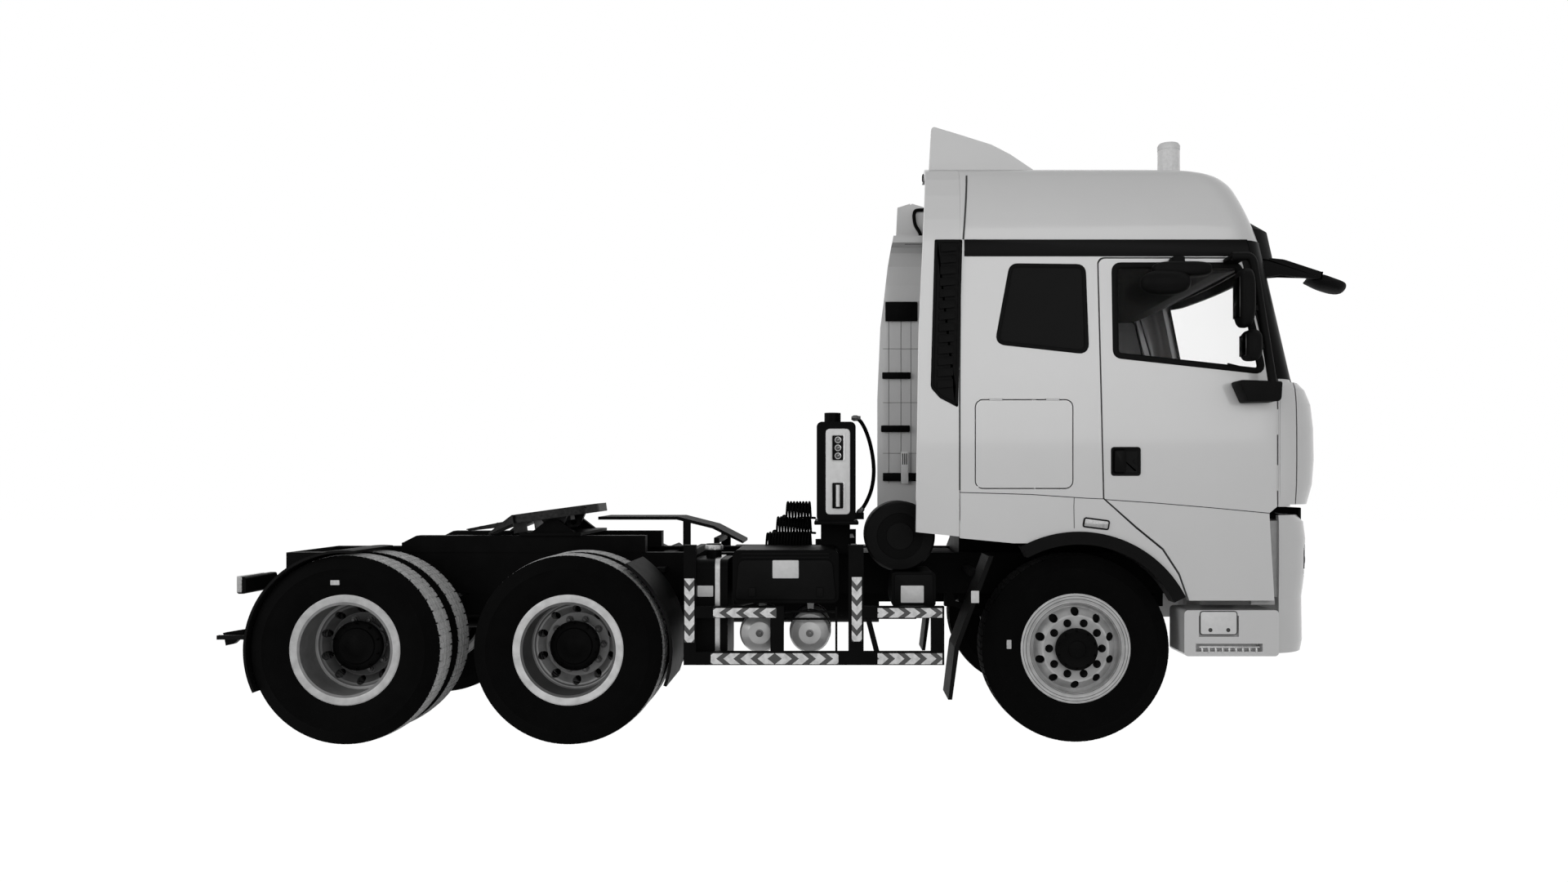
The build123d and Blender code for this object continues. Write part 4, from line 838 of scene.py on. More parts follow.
# rows: level, front station, half width, corner radius
cabRows = np.array([(1.500, 1.445, 1.245, 0.150), (2.291, 1.445, 1.245, 0.150), (3.165, 1.250, 1.237, 0.170)])
roofRows = np.array([(3.165, 1.250, 1.237, 0.170), (3.300, 1.205, 1.231, 0.190), (3.452, 1.142, 1.215, 0.220),
                     (3.560, 1.082, 1.185, 0.240), (3.625, 0.980, 1.140, 0.240), (3.655, 0.760, 1.065, 0.240)])
panelRows = np.array([(1.514, 1.595, 1.245, 0.330), (1.640, 1.630, 1.245, 0.330), (1.800, 1.642, 1.245, 0.330),
                      (2.000, 1.638, 1.245, 0.330), (2.150, 1.620, 1.245, 0.330), (2.240, 1.580, 1.245, 0.320),
                      (2.285, 1.528, 1.245, 0.300)])
bumperRows = np.array([(0.575, 1.565, 1.185, 0.300), (0.640, 1.578, 1.185, 0.300), (0.919, 1.574, 1.185, 0.300),
                       (1.080, 1.596, 1.185, 0.300), (1.290, 1.600, 1.185, 0.300), (1.400, 1.586, 1.185, 0.300),
                       (1.445, 1.538, 1.185, 0.290)])
bend = math.radians(8)


def bowOf(nose, half, corner):
    # where the wide front arc runs into the corner arc, the wide arc's radius, and the corner arc's centre
    reach = half - corner + corner * math.sin(bend)
    return reach, reach / math.sin(bend), nose - corner * math.cos(bend) - math.tan(bend / 2) * reach


def frontX(rows, y, z):
    # a wide arc across the front that runs into a corner arc each side, read at level z
    y, z = np.abs(np.asarray(y, float)), np.asarray(z, float)
    nose, half, corner = [np.interp(z, rows[:, 0], rows[:, i]) for i in (1, 2, 3)]
    reach, wide, start = bowOf(nose, half, corner)
    middle = nose - wide + np.sqrt(np.maximum(wide ** 2 - y ** 2, 0))
    edge = start + np.sqrt(np.maximum(corner ** 2 - np.maximum(y - half + corner, 0) ** 2, 0))
    return np.where(y <= reach, middle, edge)


def onFront(grid, rows):
    # a plate drawn as (y, depth, z), laid on the front with depth counted outwards
    y, d, z = grid[..., 0], grid[..., 1], grid[..., 2]
    return np.stack([at(frontX(rows, y, z)) + d, y, z], -1)


def resampled(points, n, count):
    # a rounded loop cut into short equal steps
    loop = roundedLoop(points, n)
    far = np.concatenate([loop, loop[:1]])
    run = np.concatenate([[0], np.cumsum(np.linalg.norm(np.diff(far, axis=0), axis=1))])
    step = np.linspace(0, run[-1], count, endpoint=False)
    return np.stack([np.interp(step, run, far[:, 0]), np.interp(step, run, far[:, 1])], 1)


def frontPlate(points, rows, d0, d1, edge=0.003):
    # a closed plate that follows the bow
    loop = resampled(points, 6, 96)
    sides = carried(loop, [(edge, d0), (0, d0 + edge), (0, d1 - edge), (edge, d1)])
    centre = loop.mean(0)
    fill = [np.insert(centre + (loopOffset(loop, edge) - centre) * t, 1, d1, axis=1) for t in (0.75, 0.5, 0.25, 0.0)]
    return onFront(np.concatenate([sides, fill]), rows)


def frontBars(levels, half, steps, section, rows):
    # bars across the front: a small (depth, height) section carried along the bow
    deep, high = np.array(section).T
    y = np.linspace(-half, half, steps)[:, None]
    return [solid(onFront(np.stack(np.broadcast_arrays(y, deep, z + high), 2), rows)) for z in levels]


grille = {"line": [(-0.74, 1.640, 0.05), (0.74, 1.640, 0.05), (0.80, 2.080, 0.06), (-0.80, 2.080, 0.06)],
          "levels": np.linspace(1.700, 2.020, 5), "half": 0.70, "steps": 41,
          "bar": [(0.0, -0.020), (0.020, -0.014), (0.026, 0.0), (0.020, 0.014), (0.0, 0.020)]}
piece("grille_field", [sleeve(frontPlate(grille["line"], panelRows, -0.004, 0.006))], "front_panel", bandBlack)
bars = frontBars(grille["levels"], grille["half"], grille["steps"], grille["bar"], panelRows)
piece("grille_bars", bars, "front_panel", cabPaint)

lowGrille = {"line": [(-0.62, 0.660, 0.04), (0.62, 0.660, 0.04), (0.70, 0.880, 0.05), (-0.70, 0.880, 0.05)],
             "levels": (0.71, 0.77, 0.83), "half": 0.60, "steps": 31,
             "bar": [(0.0, -0.012), (0.012, -0.008), (0.016, 0.0), (0.012, 0.008), (0.0, 0.012)]}
onChassis("low_grille", [sleeve(frontPlate(lowGrille["line"], bumperRows, -0.004, 0.004))], bandBlack)
bars = frontBars(lowGrille["levels"], lowGrille["half"], lowGrille["steps"], lowGrille["bar"], bumperRows)
onChassis("low_grille_bars", bars, trimBlack)
numberPlate = square(-0.26, 0.26, 0.960, 1.075, 0.01)
onChassis("blank_plate", [sleeve(frontPlate(numberPlate, bumperRows, 0.0, 0.006))], labelPale)
upperBand = [(-0.72, 1.120, 0.03), (0.72, 1.120, 0.03), (0.72, 1.330, 0.05), (-0.72, 1.330, 0.05)]
onChassis("bumper_band", [sleeve(frontPlate(upperBand, bumperRows, -0.004, 0.004))], trimBlack)

# headlamps: dark bowl, two reflectors and a clear lens each side
lamp = {"line": [(0.740, 1.050, 0.06), (1.060, 1.050, 0.04), (1.060, 1.260, 0.04), (0.740, 1.260, 0.06)],
        "lens": [(0.746, 1.056, 0.06), (1.054, 1.056, 0.04), (1.054, 1.254, 0.04), (0.746, 1.254, 0.06)],
        "strip": square(1.015, 1.05, 1.075, 1.240, 0.01), "eyes": (0.822, 0.945), "level": 1.155, "steps": 40,
        "eye": [(0.066, -0.020), (0.064, -0.018), (0.056, -0.028), (0.035, -0.038), (0.020, -0.041), (0.018, -0.026),
                (0.010, -0.020), (0.0, -0.019)]}
turn = np.linspace(0, 2 * np.pi, lamp["steps"], endpoint=False)


def lampPlate(key, side, d0, d1):
    return frontPlate([(side * y, z, r) for y, z, r in lamp[key]], bumperRows, d0, d1)


for hand, side in hands:
    eyes = []
    for y in lamp["eyes"]:
        depth = at(frontX(bumperRows, y, lamp["level"]))
        eyes.append(sleeve(np.stack([np.stack([np.full(lamp["steps"], depth + d), side * y + r * np.cos(turn),
                                               lamp["level"] + r * np.sin(turn)], 1) for r, d in lamp["eye"]])))
    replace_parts(onChassis(f"headlamp_bowl_{hand}", [solid(lampPlate("line", side, -0.060, -0.034))], lampBody),
                "headlamps")
    onChassis(f"headlamp_eyes_{hand}", eyes, strapSteel)
    onChassis(f"headlamp_strip_{hand}", [sleeve(lampPlate("strip", side, -0.034, -0.020))], lensGrey)
    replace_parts(onChassis(f"headlamp_lens_{hand}", [solid(lampPlate("lens", side, -0.006, 0.0))], paneClear),
                "headlamps")

# wipers lie on the glass
wiper = {"pivots": (-0.62, 0.05, 0.62), "base": 2.345, "arm": (0.5332, 0.1488), "blade": (0.66, 0.132), "hold": 0.72,
         "edge": 0.97}
arms, blades = [], []
t = np.linspace(0, 1, 12)
for pivot in wiper["pivots"]:
    y, z = pivot + wiper["arm"][0] * t, wiper["base"] + wiper["arm"][1] * t
    path = np.stack([at(frontX(cabRows, y, z)) + 0.030 - 0.02 * t, y, z], 1)
    arms.append(tubeGrid(path, 0.009 - 0.004 * t, 10))
    y, z = [end + length * (t - wiper["hold"]) for end, length in zip((y[-1], z[-1]), wiper["blade"])]
    path = np.stack([at(frontX(cabRows, y, z)) + 0.006, y, z], 1)[y < wiper["edge"]]
    blades.append(tubeGrid(path, 0.008, 8))
piece("wiper_arms", arms, "cab", trimBlack)
piece("wiper_blades", blades, "cab", rubber)
screen = {"line": [(-1.010, 2.318, 0.06), (1.010, 2.318, 0.06), (0.965, 3.120, 0.08), (-0.965, 3.120, 0.08)],
          "rows": [(0.030, -0.012), (0.028, 0.0), (0.010, 0.004), (-0.008, 0.003), (-0.050, 0.003), (-0.085, 0.003), (-0.090, -0.002)],
          "cowl": [(-1.190, 2.288, 0.01), (1.190, 2.288, 0.01), (1.160, 2.318, 0.01), (-1.160, 2.318, 0.01)]}
bead = carried(resampled(screen["line"], 8, 160), screen["rows"])
piece("screen_rubber", [sleeve(onFront(bead, cabRows))], "cab", trimBlack)
piece("cowl_strip", [sleeve(frontPlate(screen["cowl"], cabRows, -0.003, 0.006, 0.002))], "cab", trimBlack)


# roof skin: the same plan at every level, with the rows run into one another by a smooth curve

def planLoop(nose, half, corner, rear):
    # one level seen from above: rear edge, straight sides, corner arcs and the bowed front
    reach, wide, start = bowOf(nose, half, corner)
    turn = np.linspace(math.pi / 2, bend, 14)
    arc = np.stack([start + corner * np.cos(turn), half - corner + corner * np.sin(turn)], 1)
    y = np.linspace(reach, 0, 14)[1:]
    bow = np.stack([nose - wide + np.sqrt(wide ** 2 - y ** 2), y], 1)
    side = np.stack([np.linspace(rear, start, 10)[:-1], np.full(9, half)], 1)
    back = np.stack([np.full(8, rear), np.linspace(0, half, 9)[:-1]], 1)
    one = np.concatenate([back, side, arc, bow])
    return np.concatenate([one, one[-2:0:-1] * (1, -1)])


def dome(rows, rear, inset):
    # levels of the skin, then the last one drawn in to a flat top
    loops = [(planLoop(nose - inset, half - inset, corner - inset, rear + inset), z) for z, nose, half, corner in rows]
    last, top = loops[-1]
    centre = np.array([(last[:, 0].min() + last[:, 0].max()) / 2, 0])
    loops += [(centre + (last - centre) * k, top) for k in (0.7, 0.35, 0.0)]
    return np.stack([np.insert(loop + (axleX, 0), 2, z, axis=1) for loop, z in loops])


roof = {"rear": -0.740, "wall": 0.055, "base": 3.165}
outer = dome(smoothRows(roofRows, 40), roof["rear"], 0.0)
innerRows = smoothRows(roofRows[:-1], 24)
innerRows[:, 0] -= (innerRows[:, 0] - roof["base"]) * roof["wall"]
inner = dome(innerRows, roof["rear"], roof["wall"])
shells = [sleeve(outer), sleeve(inner), sleeve(np.stack([outer[0], inner[0]]))]
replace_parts(piece("roof_skin", shells, "cab", cabPaint, 50), "cab_roof")
print("front and roof dressed")


# mirrors: rounded housings with glass on their rear faces, arms and feet

mirrorGlass = finish("mirrorGlass", 0.035, 0.06, metal=1.0, vary=0.02, scale=2)
mirrorSet = {"heads": (((0.918, -1.530, 2.595), (1.018, -1.330, 2.953)), ((0.958, -1.520, 2.392), (1.062, -1.330, 2.580))),
             "arm": [(0.905, 3.036), (0.960, 3.037), (1.012, 3.034), (1.036, 3.000), (1.050, 2.920), (1.085, 2.700),
                     (1.122, 2.470), (1.154, 2.270), (1.160, 2.235)], "armRadius": 0.026, "armDepth": -1.390,
             "topFoot": ((0.900, -1.410, 3.022), (1.006, -1.2386, 3.050)),
             "clamps": (((1.008, -1.405, 2.702), (1.090, -1.375, 2.738)), ((1.052, -1.405, 2.468), (1.125, -1.375, 2.504))),
             "lowFoot": [(1.000, 2.145, 0.02), (1.205, 2.150, 0.03), (1.212, 2.271, 0.015), (0.940, 2.281, 0.02)],
             "hood": ((0.424, -1.440, 2.914), (0.785, -1.290, 3.006)),
             "dish": ((0.346, -1.480, 2.800), (0.650, -1.300, 2.950)),
             "kerbFoot": ((0.560, -1.330, 3.005), (0.640, -1.2386, 3.050))}


def station(box):
    return [np.array(corner) + (axleX, 0, 0) for corner in box]


shells = [sleeve(shellGrid(*station(box), 0.62)) for box in mirrorSet["heads"]]
path = standing(smoothRows(mirrorSet["arm"], 40), mirrorSet["armDepth"])
shells.append(tubeGrid(path, mirrorSet["armRadius"], 16))
shells += [roundBox(*station(box), 0.006) for box in mirrorSet["clamps"]]
shells.append(roundBox(*station(mirrorSet["topFoot"]), 0.010))
shells.append(solid(placed(plate(mirrorSet["lowFoot"], -1.2453, -1.413, 0.012))))
kerb = [sleeve(shellGrid(*station(mirrorSet["hood"]), 0.55)), sleeve(shellGrid(*station(mirrorSet["dish"]), 0.8)),
        roundBox(*station(mirrorSet["kerbFoot"]), 0.010)]
panes = []
for low, high in map(station, mirrorSet["heads"]):
    inset = (high - low) * (0, 0.2, 0.16)
    panes.append(roundBox(low + inset - (0.001, 0, 0), (low[0] + 0.006, *(high - inset)[1:]), 0.0028, 3))
for hand, side in hands:
    housing = [(mirrored(grid, side), *kind) for grid, *kind in shells] + (kerb if side < 0 else [])
    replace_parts(piece(f"mirror_shells_{hand}", housing, f"door_{hand}", trimBlack, 40), f"mirrors_{hand}")
pair("mirror_glass", panes, "door_", mirrorGlass)

look = {"arm": [(1.150, 3.098), (1.150, 2.962), (1.330, 2.980, 0.1), (1.590, 2.952), (1.600, 3.000), (1.350, 3.082, 0.15)],
        "depth": (-1.075, -1.035), "wide": (-1.085, -0.860), "rows": 13,
        "head": [(1.518, 2.952), (1.575, 3.004), (1.690, 2.972), (1.780, 2.930), (1.745, 2.874), (1.630, 2.900),
                 (1.518, 2.952)]}
arm = placed(plate(look["arm"], *look["depth"], 0.010))
arm[..., 0] = np.maximum(arm[..., 0], at(frontX(cabRows, arm[..., 1], arm[..., 2])) - 0.004)
loop = smoothRows(look["head"], 41)[:-1]
swell = 0.05 + 0.95 * np.sin(np.linspace(0, 1, look["rows"]) * np.pi) ** 0.4
middle = loop.mean(0)
head = np.stack([standing(middle + (loop - middle) * k, y) for k,
                 y in zip(swell, np.linspace(*look["wide"], look["rows"]))])
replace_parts(piece("look_mirror", [solid(arm), solid(head)], "cab", trimBlack, 40), "front_mirror")

# beacon: base ring, ribbed lens and lid
beaconLow, beaconHigh = boxOf("beacon")
tall = beaconHigh[2] - beaconLow[2]
# name: finish, depth of the flutes, rows
beacon = {"base": (panelPale, 0.0, [(0.0, 0.0), (0.082, 0.0), (0.082, 0.05), (0.077, 0.062), (0.0, 0.062)]),
          "lens": (lensPale, 0.008, [(0.073, 0.060), (0.0725, tall - 0.055), (0.071, tall - 0.045)]),
          "lid": (panelPale, 0.0, [(0.073, tall - 0.048), (0.074, tall - 0.02), (0.064, tall - 0.004), (0.03, tall),
                                   (0.0, tall)])}
centre = (*((beaconLow + beaconHigh) / 2)[:2], beaconLow[2])
for name, (stuff, deep, rows) in beacon.items():
    grid = uprightSpun(rows, centre, 64, lambda r, turn: 1 + deep * np.cos(turn * 16))
    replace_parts(piece("beacon_" + name, [grid], "cab", stuff), "beacon")
print("mirrors and beacon made")


# cab inside: padded seats, steering wheel, headlining, overhead shelf and a blind

shelfGrey = finish("shelfGrey", 0.030, 0.8, vary=0.2, scale=20, grain=0.3, shine=0.1)
blindGrey = finish("blindGrey", 0.20, 0.9, vary=0.1, scale=30, grain=0.3, shine=0.1)
# the back is drawn lying, then stood up about its middle
seatPlan = {"sides": {"right": -0.560, "left": 0.560}, "cushion": ((0.160, -0.246, 1.904), (0.690, 0.246, 2.048)),
            "back": ((-0.40, -0.236, -0.07), (0.40, 0.236, 0.055)), "middle": (0.145, 2.36),
            "lean": math.atan2(0.115, 0.8),
            "plinth": ((0.270, -0.170, 1.552), (0.550, 0.170, 1.905)), "fill": 0.7}


def padGrid(low, high, crown, channels):
    # crowned pad: a squared ball whose top swells and dips along sewn channels
    grid = shellGrid(low, high, 0.34, (40, 72))
    low, high = np.asarray(low), np.asarray(high)
    share = (grid - (low + high) / 2) / ((high - low) / 2)
    swell = crown * (1 - share[..., 0] ** 2) * (1 - share[..., 1] ** 2)
    dip = sum(np.exp(-((share[..., 1] - c) / 0.045) ** 2) for c in channels)
    grid[..., 2] += np.where(share[..., 2] > 0.1, swell - 0.010 * dip, 0)
    return grid


def leaned(points, centre, lean):
    # points drawn about a centre, turned in the side view by the lean
    x, y, z = np.moveaxis(np.asarray(points, float), -1, 0)
    return np.stack([centre[0] + x * math.cos(lean) + z * math.sin(lean), centre[1] + y,
                     centre[2] - x * math.sin(lean) + z * math.cos(lean)], -1)


cushion = padGrid(*station(seatPlan["cushion"]), 0.010, (-0.55, 0.55))
midX, midZ = seatPlan["middle"]
upright = padGrid(*seatPlan["back"], 0.012, (-0.5, 0.5))[..., [2, 1, 0]]
back = leaned(upright, (at(midX), 0, midZ), -seatPlan["lean"])
for hand, y in seatPlan["sides"].items():
    for part, grid in (("cushion", cushion), ("back", back)):
        pad = piece(f"seat_{part}_{hand}", [sleeve(grid + (0, y, 0))], "cab", seatCloth, 60)
        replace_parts(pad, "seats")
    plinth = roundBox(*[corner + (0, y, 0) for corner in station(seatPlan["plinth"])], 0.02)
    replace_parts(piece(f"seat_plinth_{hand}", [plinth], "cab", dashGrey), "seats")

steering = {"centre": (0.760, 0.560, 2.240), "tilt": -25, "ring": 0.225, "grip": 0.016,
            "spoke": ((-0.21, -0.026, -0.012), (0.21, 0.026, 0.006)),
            "pad": ((-0.085, -0.095, -0.03), (0.085, 0.095, 0.012)),
            "column": [(0, 0, -0.03), (0, 0, -0.16), (0, 0, -0.28)]}


def onWheel(points):
    return leaned(points, np.array(steering["centre"]) + (axleX, 0, 0), math.radians(steering["tilt"]))


a = np.linspace(0, 2 * np.pi, 64, endpoint=False)[:, None]
b = np.linspace(0, 2 * np.pi, 14, endpoint=False)[None, :]
ringR = steering["ring"] + steering["grip"] * np.cos(b)
rim_painted_shade = np.stack([ringR * np.cos(a), ringR * np.sin(a), steering["grip"] * np.sin(b) + 0 * a], 2)
parts = [(onWheel(rim_painted_shade), True, True, False), solid(onWheel(roundBox(*steering["spoke"], 0.008)[0])),
         sleeve(onWheel(shellGrid(*steering["pad"], 0.5))), tubeGrid(onWheel(steering["column"]),
                                                                     (0.034, 0.030, 0.034), 20)]
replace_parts(piece("steering_ring", parts, "cab", dashGrey, 45), "steering_wheel")

liner = {"x": (-0.66, 0.98), "half": 1.12, "z": 3.135, "thick": 0.012, "crown": 0.012}
x0, x1 = liner["x"]
u, v = np.meshgrid(np.linspace(0, 1, 20), np.linspace(-1, 1, 24), indexing="ij")
sheet = np.stack([at(x0 + (x1 - x0) * u), liner["half"] * v, liner["z"] + liner["crown"] * (1 - v ** 2)], 2)
piece("headlining", [lathe(np.concatenate([sheet, sheet[::-1] - (0, 0, liner["thick"])]))], "cab", linerPale)
shelf = {"line": [(0.300, 3.128, 0.01), (1.160, 3.128, 0.01), (1.150, 3.060, 0.02), (0.985, 2.990, 0.02),
                  (0.880, 2.975, 0.03),
                  (0.320, 3.090, 0.03)], "half": 1.13}
loop = roundedLoop(shelf["line"])
piece("overhead_shelf", [solid(np.stack([standing(loop, y) for y in (-shelf["half"], shelf["half"])]))], "cab",
      shelfGrey)
blind = {"line": [(0.245, 2.985, 0.03), (0.982, 2.985, 0.03), (1.118, 2.385, 0.03), (0.250, 2.470, 0.03)],
         "depth": (1.186, 1.190)}
piece("window_panel_left", [solid(placed(plate(blind["line"], *blind["depth"], 0.0015)))], "door_left", blindGrey)
print("cab inside made")


# black corner posts either side of the screen, on the cab's rounded corners

post = {"span": (2.300, 3.168), "levels": 14, "lead": 0.02, "back": 0.015, "proud": 0.004, "deep": -0.004}


def cornerRow(z, away):
    # one level of the corner: a little of the bowed front, the corner arc, then a little of the side
    nose, half, corner = [float(np.interp(z, cabRows[:, 0], cabRows[:, i])) for i in (1, 2, 3)]
    start = bowOf(nose, half, corner)[2]
    turn = np.linspace(bend, math.pi / 2, 12)
    arc = np.stack([start + (corner + away) * np.cos(turn), half - corner + (corner + away) * np.sin(turn)], 1)
    inner = np.linspace(half - corner - post["lead"], half - corner, 3)
    lead = np.stack([frontX(cabRows, inner, z) + away, inner], 1)
    row = np.concatenate([lead, arc, [(start - post["back"], half + away)]])
    return np.stack([at(row[:, 0]), -row[:, 1], np.full(len(row), z)], 1)


cover = np.stack([np.concatenate([cornerRow(z, post["proud"]), cornerRow(z, post["deep"])[::-1]])
                  for z in np.linspace(*post["span"], post["levels"])])
pair("corner_post", [solid(cover)], "cab", bandBlack)


# inside faces of the rear fairings: fine seams, black brackets and a slotted strip; the right one sits further forward

lineGrey = finish("lineGrey", 0.16, 0.6, vary=0.1, scale=20)
fairing = {"face": 1.205, "shift": {"right": 0.180, "left": 0.0}, "end": -0.760,
           "seams": (-1.070, -0.968, -0.884), "span": (1.640, 3.150), "bands": (2.771, 2.320, 1.895),
           "rails": (-1.120, -0.780),
           "brackets": [(-1.099, -0.830, 3.000, 3.160), (-1.125, -0.887, 2.518, 2.572), (-1.135, -0.894, 2.073, 2.128),
                        (-1.120, -0.800, 1.663, 1.731)],
           "strip": (-0.969, -0.908, 1.640, 1.909), "slots": (-0.955, -0.9385, -0.922), "slotSpan": (1.799, 1.894)}
seamHalf, slotHalf = 0.002, 0.005


def cut(move, x0, x1, z0, z1):
    # bars that run along the fairing stop at its front edge
    return x0, min(x1, fairing["end"] - move), z0, z1


for hand, side in hands:
    move = fairing["shift"][hand]
    seams = [(x - seamHalf, x + seamHalf, *fairing["span"]) for x in fairing["seams"]]
    seams += [cut(move, *fairing["rails"], z - seamHalf, z + seamHalf) for z in fairing["bands"]]
    slots = [(x - slotHalf, x + slotHalf, *fairing["slotSpan"]) for x in fairing["slots"]]
    # name: boxes, distances out from the face, corner radius, finish
    dressing = {"seams": (seams, 0.0, 0.003, 0.001, lineGrey),
                "brackets": ([cut(move, *box) for box in fairing["brackets"]], 0.001, 0.034, 0.006, frameBlack),
                "strip": ([fairing["strip"]], 0.034, 0.040, 0.0025, panelPale),
                "strip_slots": (slots, 0.036, 0.0415, 0.0025, seamDark)}
    for name, (boxes, near, far, r, stuff) in dressing.items():
        bars = [block(x0 + move, x1 + move, near - fairing["face"], far - fairing["face"], z0, z1, r) for x0, x1, z0,
                z1 in boxes]
        piece(f"fairing_{name}_{hand}", [(mirrored(grid, side), *kind) for grid, *kind in bars], "cab", stuff)

# stays inside the deflector fins, and the seam between roof and fairing
stay = {"line": [(-0.790, 3.885), (-0.866, 3.870), (-0.866, 3.771), (-0.822, 3.681), (-0.860, 3.640)],
        "depth": -0.984, "r": 0.014,
        "foot": (-0.960, -0.800, -0.998, -0.954, 3.600, 3.650)}
rod = tubeGrid(standing(smoothRows(stay["line"], 24), stay["depth"]), stay["r"], 12)
pair("fin_stay", [rod, block(*stay["foot"], 0.010)], "cab", frameBlack)
roofSeam = {"line": [(-0.722, 3.172), (-0.712, 3.300), (-0.702, 3.452), (-0.694, 3.590)],
            "section": ((-0.0055, 0.004), (-0.0055, -0.0025), (0.0055, -0.0025), (0.0055, 0.004))}
line = smoothRows(roofSeam["line"], 24)
dense = smoothRows(roofRows, 120)
half = np.interp(line[:, 1], dense[:, 0], dense[:, 2])
seam = np.stack([np.stack([at(line[:, 0]) + w, -half + d, line[:, 1]], 1) for w, d in roofSeam["section"]], 1)
pair("roof_seam", [solid(seam)], "cab", seamDark)

# fillers: flange behind the bumper's corner gap, dark rail under the front panel, strip over the step
fillers = {"flange": (1.215, 1.300, -1.150, -1.135, 0.925, 1.410),
           "strip": (1.100, 1.250, -1.180, -1.140, 0.880, 0.912),
           "rail": (1.472, 1.490, -1.000, 1.000, 1.400, 1.490)}
pair("corner_flange", [block(*fillers["flange"]), block(*fillers["strip"])], "chassis", linerPale)
onChassis("front_rail", [block(*fillers["rail"], 0.006)], trimBlack)


# steps: blank plate, holes and the ribbed lower tread

stepFace = boxOf("steps")[0][1]
stepPlate = {"box": (0.770, 0.995, 0.700, 0.840), "edge": [(-0.006, 0.004), (-0.006, -0.002), (0.0, -0.002), (0.0, 0.004)],
             "holes": ((0.830, 0.726), (0.942, 0.726)), "hole": [(0.013, 0.002), (0.013, -0.0046), (0.0, -0.0046)],
             "bar": (0.760, 1.140, 0.615, 0.623), "ribs": np.linspace(0.780, 1.120, 9), "rib": (0.581, 0.613),
             "depth": (-0.003, 0.006)}
edge = sleeve(placed(loopBead(square(*stepPlate["box"], 0.016), stepPlate["edge"]), stepFace))
dots = [spun(np.array(stepPlate["hole"]) + (0, stepFace), (at(x), z), 20) for x, z in stepPlate["holes"]]
y0, y1 = [stepFace + depth for depth in stepPlate["depth"]]
boxes = [stepPlate["bar"]] + [(x - 0.006, x + 0.006, *stepPlate["rib"]) for x in stepPlate["ribs"]]
bars = [block(x0, x1, y0, y1, z0, z1, 0.002) for x0, x1, z0, z1 in boxes]
pair("step_plate", [facePlate(stepPlate["box"], 0.016, stepFace, (0.004, -0.004), 0.002)], "chassis", panelPale)
pair("step_plate_edge", [edge] + dots, "chassis", seamDark)
pair("step_tread", bars, "chassis", strapSteel)


# tail: lamp lenses, mud flaps and small brackets

rearX, outerY = boxOf("rear_lamps")[0][:2]
tail = {"lens": ((-0.002, -0.002, 0.938), (0.034, 0.300, 1.046)), "wide": (-1.185, -0.640), "thick": 0.010,
        "wave": (0.006, 0.9, 9),
        "bracket": [(-5.396, 0.700), (-5.264, 0.722), (-5.264, 0.690), (-5.331, 0.630), (-5.377, 0.620)],
        "flap": [(-5.222, 0.690), (-5.216, 0.560), (-5.204, 0.430), (-5.190, 0.330)]}
lens = roundBox(*[np.array(corner) + (rearX, outerY, 0) for corner in tail["lens"]], 0.006)
pair("tail_bracket", [solid(placed(plate(tail["bracket"], -1.160, -1.110, 0.004)))], "chassis", frameBlack)
pair("tail_lens", [lens], "chassis", lensGrey)
# a hanging sheet, rippled across its width by a cosine
wide = np.linspace(*tail["wide"], 12)
deep, shift, pitch = tail["wave"]
ripple = deep * np.cos((wide + shift) * pitch)
sheet = np.stack([np.stack([at(x) + ripple, wide, np.full(12, z)], 1) for x, z in smoothRows(tail["flap"], 16)])
pair("mud_flap", [solid(np.concatenate([sheet, sheet[:, ::-1] + (tail["thick"], 0, 0)], 1))], "chassis", rubber)

# fifth wheel: worn ramp ends in line with the plate, and clods of grease along its edge
rampEnd = {"line": [(-4.098, 1.324), (-3.840, 1.377), (-3.840, 1.340), (-4.080, 1.312)],
           "wide": ((-0.400, -0.120), (0.120, 0.400))}
plates = [solid(placed(plate(rampEnd["line"], y0, y1, 0.004))) for y0, y1 in rampEnd["wide"]]
piece("ramp_ends", plates, "fifth_wheel", greasySteel)
grease = {"shares": np.linspace(0.04, 0.96, 26), "start": (-4.080, 1.326), "run": (0.86, 0.163), "half": 0.40,
          "size": (0.006, 0.016), "stretch": (1.6, 1.4, 0.7)}
clods = []
dice = np.random.default_rng(7)
for share in grease["shares"]:
    size = dice.uniform(*grease["size"], 3) * grease["stretch"]
    x, z = np.array(grease["start"]) + share * np.array(grease["run"])
    spot = np.array([at(x), dice.uniform(-grease["half"], grease["half"]), z])
    clods.append(sleeve(shellGrid(spot - size, spot + size, 0.9, (6, 9))))
piece("grease_clods", clods, "fifth_wheel", greasySteel)
print("posts, fairings, steps and tail dressed")


# free cords: the oil hose on the hydraulic tank, and coiled air and power lines behind the cab

hose = {"line": [(-1.402, 2.083), (-1.376, 2.083), (-1.345, 2.056), (-1.312, 1.990), (-1.284, 1.900), (-1.266, 1.800),
                 (-1.262, 1.700), (-1.278, 1.600), (-1.312, 1.520), (-1.344, 1.470), (-1.366, 1.440)],
        "depth": -0.720, "diameter": 0.026, "length": 0.72,
        "fitting": [(-0.012, 0.012), (0.0, 0.020), (0.004, 0.022), (0.026, 0.022), (0.030, 0.018), (0.050, 0.016)]}
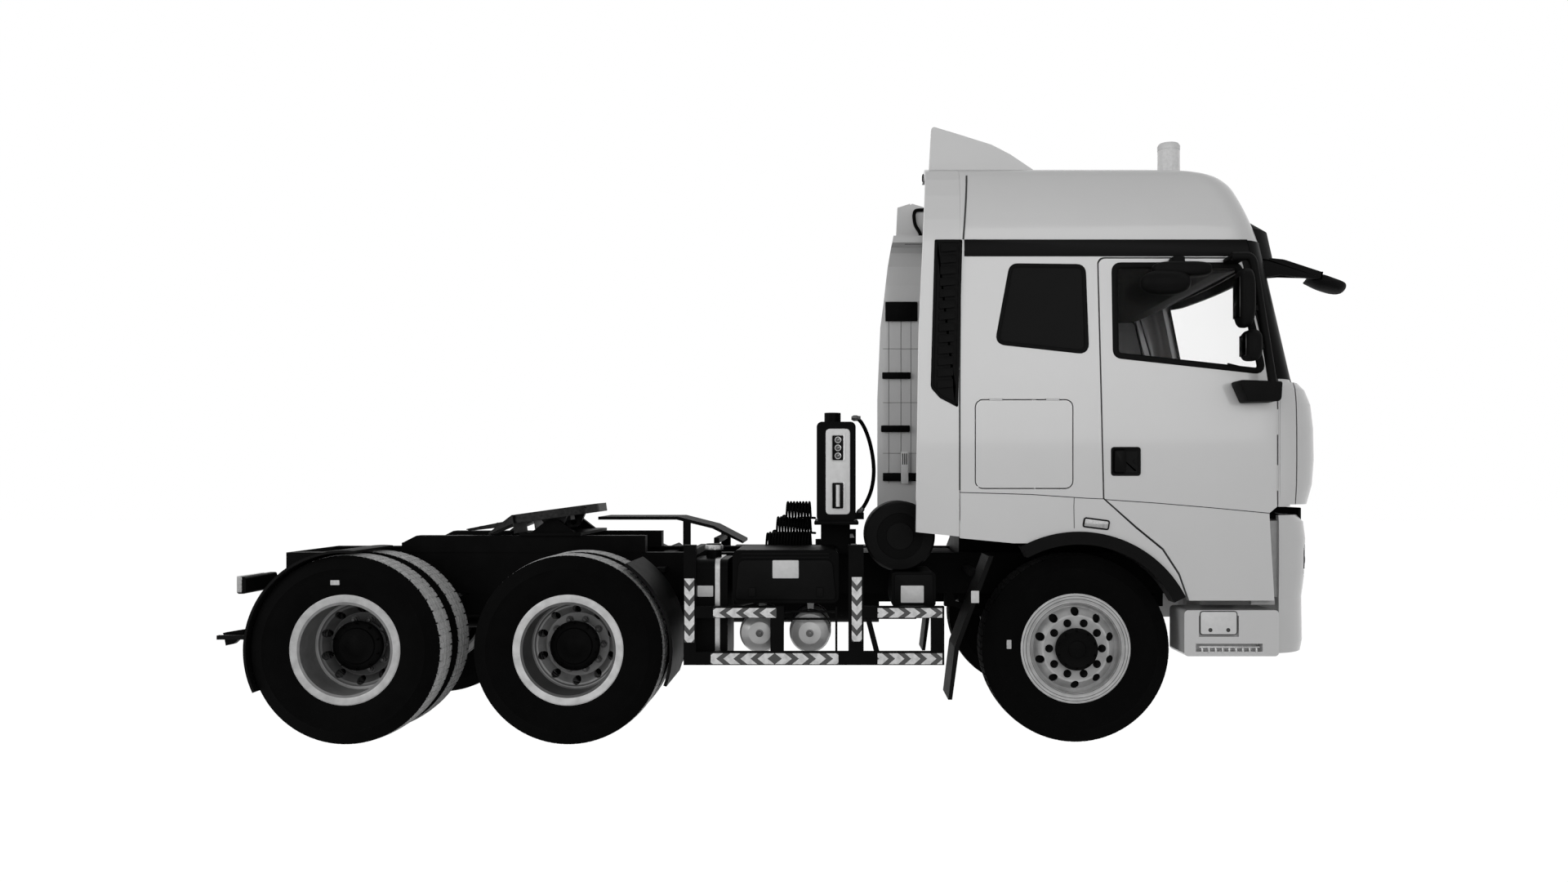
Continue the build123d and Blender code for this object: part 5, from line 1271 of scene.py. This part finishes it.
# name: far station, depth, level, turns, length
coils = {"air_line_low": (-2.000, -0.460, 1.245, 15, 5.11), "air_line_far": (-1.990, -0.320, 1.245, 15, 5.11),
         "power_line_low": (-1.930, -0.390, 1.355, 12, 4.11), "power_line_high": (-1.860, -0.460, 1.462, 8, 2.77)}
coil = {"start": -1.690, "radius": 0.055, "diameter": 0.016, "steps": 12, "way": (-0.03, 1.0, 0.0),
        "lead": [(0.030, -0.042, 0.0), (0.022, -0.028, 0.0), (0.010, -0.013, 0.0)],
        "trail": [(-0.008, 0.013, 0.0), (-0.014, 0.028, 0.0), (-0.016, 0.042, 0.0)],
        "coupling": [(-0.004, 0.009), (0.0, 0.016), (0.018, 0.016), (0.020, 0.020), (0.036, 0.020)]}


def cordCurve(name, points, diameter, body, material):
    # a round cord on one smooth open curve
    data = bpy.data.curves.new(name, "CURVE")
    data.dimensions = "3D"
    data.bevel_depth = diameter / 2
    data.bevel_resolution = 2
    data.resolution_u = 4
    data.use_fill_caps = True
    spline = data.splines.new("NURBS")
    spline.points.add(len(points) - 1)
    for knot, spot in zip(spline.points, points):
        knot.co = (*map(float, spot), 1)
    spline.order_u = 3
    spline.use_endpoint_u = True
    data.materials.append(material)
    cord = bpy.data.objects.new(name, data)
    scene.collection.objects.link(cord)
    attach(cord, body)
    return cord


def endFitting(end, way, rows, sides):
    # (distance, radius) rows along the cord's way from its end
    steps, radii = np.array(rows).T
    return tubeGrid(end + steps[:, None] * np.asarray(way), radii, sides)


points = standing(hose["line"], hose["depth"])
oilHose = cordCurve("oil_hose", points, hose["diameter"], "chassis", rubber)
ends = [endFitting(end, (towards - end) / np.linalg.norm(towards - end), hose["fitting"], 6)
        for end, towards in ((points[0], points[1]), (points[-1], points[-2]))]
fittings = piece("oil_hose_fittings", ends, "chassis", wornSteel, 30)
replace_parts(oilHose, "hydraulic_hose")

for name, (farX, depth, level, turns, length) in coils.items():
    # a helix along the frame, straight for a little at both ends
    turn = np.linspace(0, turns * 2 * np.pi, turns * coil["steps"] + 1)
    x = coil["start"] + (farX - coil["start"]) * turn / turn[-1]
    helix = np.stack([at(x), depth + coil["radius"] * np.sin(turn), level - coil["radius"] * np.cos(turn)], 1)
    points = np.concatenate([helix[0] + np.array(coil["lead"]), helix, helix[-1] + np.array(coil["trail"])])
    cord = cordCurve(name, points, coil["diameter"], "chassis", rubber)
    grip = endFitting(points[-1], coil["way"], coil["coupling"], 16)
    coupling = piece(name + "_coupling", [grip], "chassis", axleBlack, 30)
    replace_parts(cord, "cable_bundle")
print("hose and coiled lines laid")


# pale floor, wide enough for every view
half = 40.0
mesh = bpy.data.meshes.new("studioFloor")
mesh.from_pydata([(-half, -half, 0), (half, -half, 0), (half, half, 0), (-half, half, 0)], [], [(0, 1, 2, 3)])
floor = bpy.data.objects.new("studioFloor", mesh)
scene.collection.objects.link(floor)
floorStuff = bpy.data.materials.new("paleFloor")
tree = nodeTree(floorStuff)
diffuse = addNode(tree, "BsdfDiffuse", {"Color": (studio["floor"],) * 3 + (1,)})
glow = addNode(tree, "Emission", {"Color": white, "Strength": studio["floorGlow"]})
# how much of the floor is plain white to the eye
share = addNode(tree, "Math", {0: seenDirectly(tree), 1: studio["whiteness"]}, operation="MULTIPLY")
addNode(tree, "OutputMaterial", {0: addNode(tree, "MixShader", {0: share, 1: diffuse, 2: glow})})
floor.data.materials.append(floorStuff)
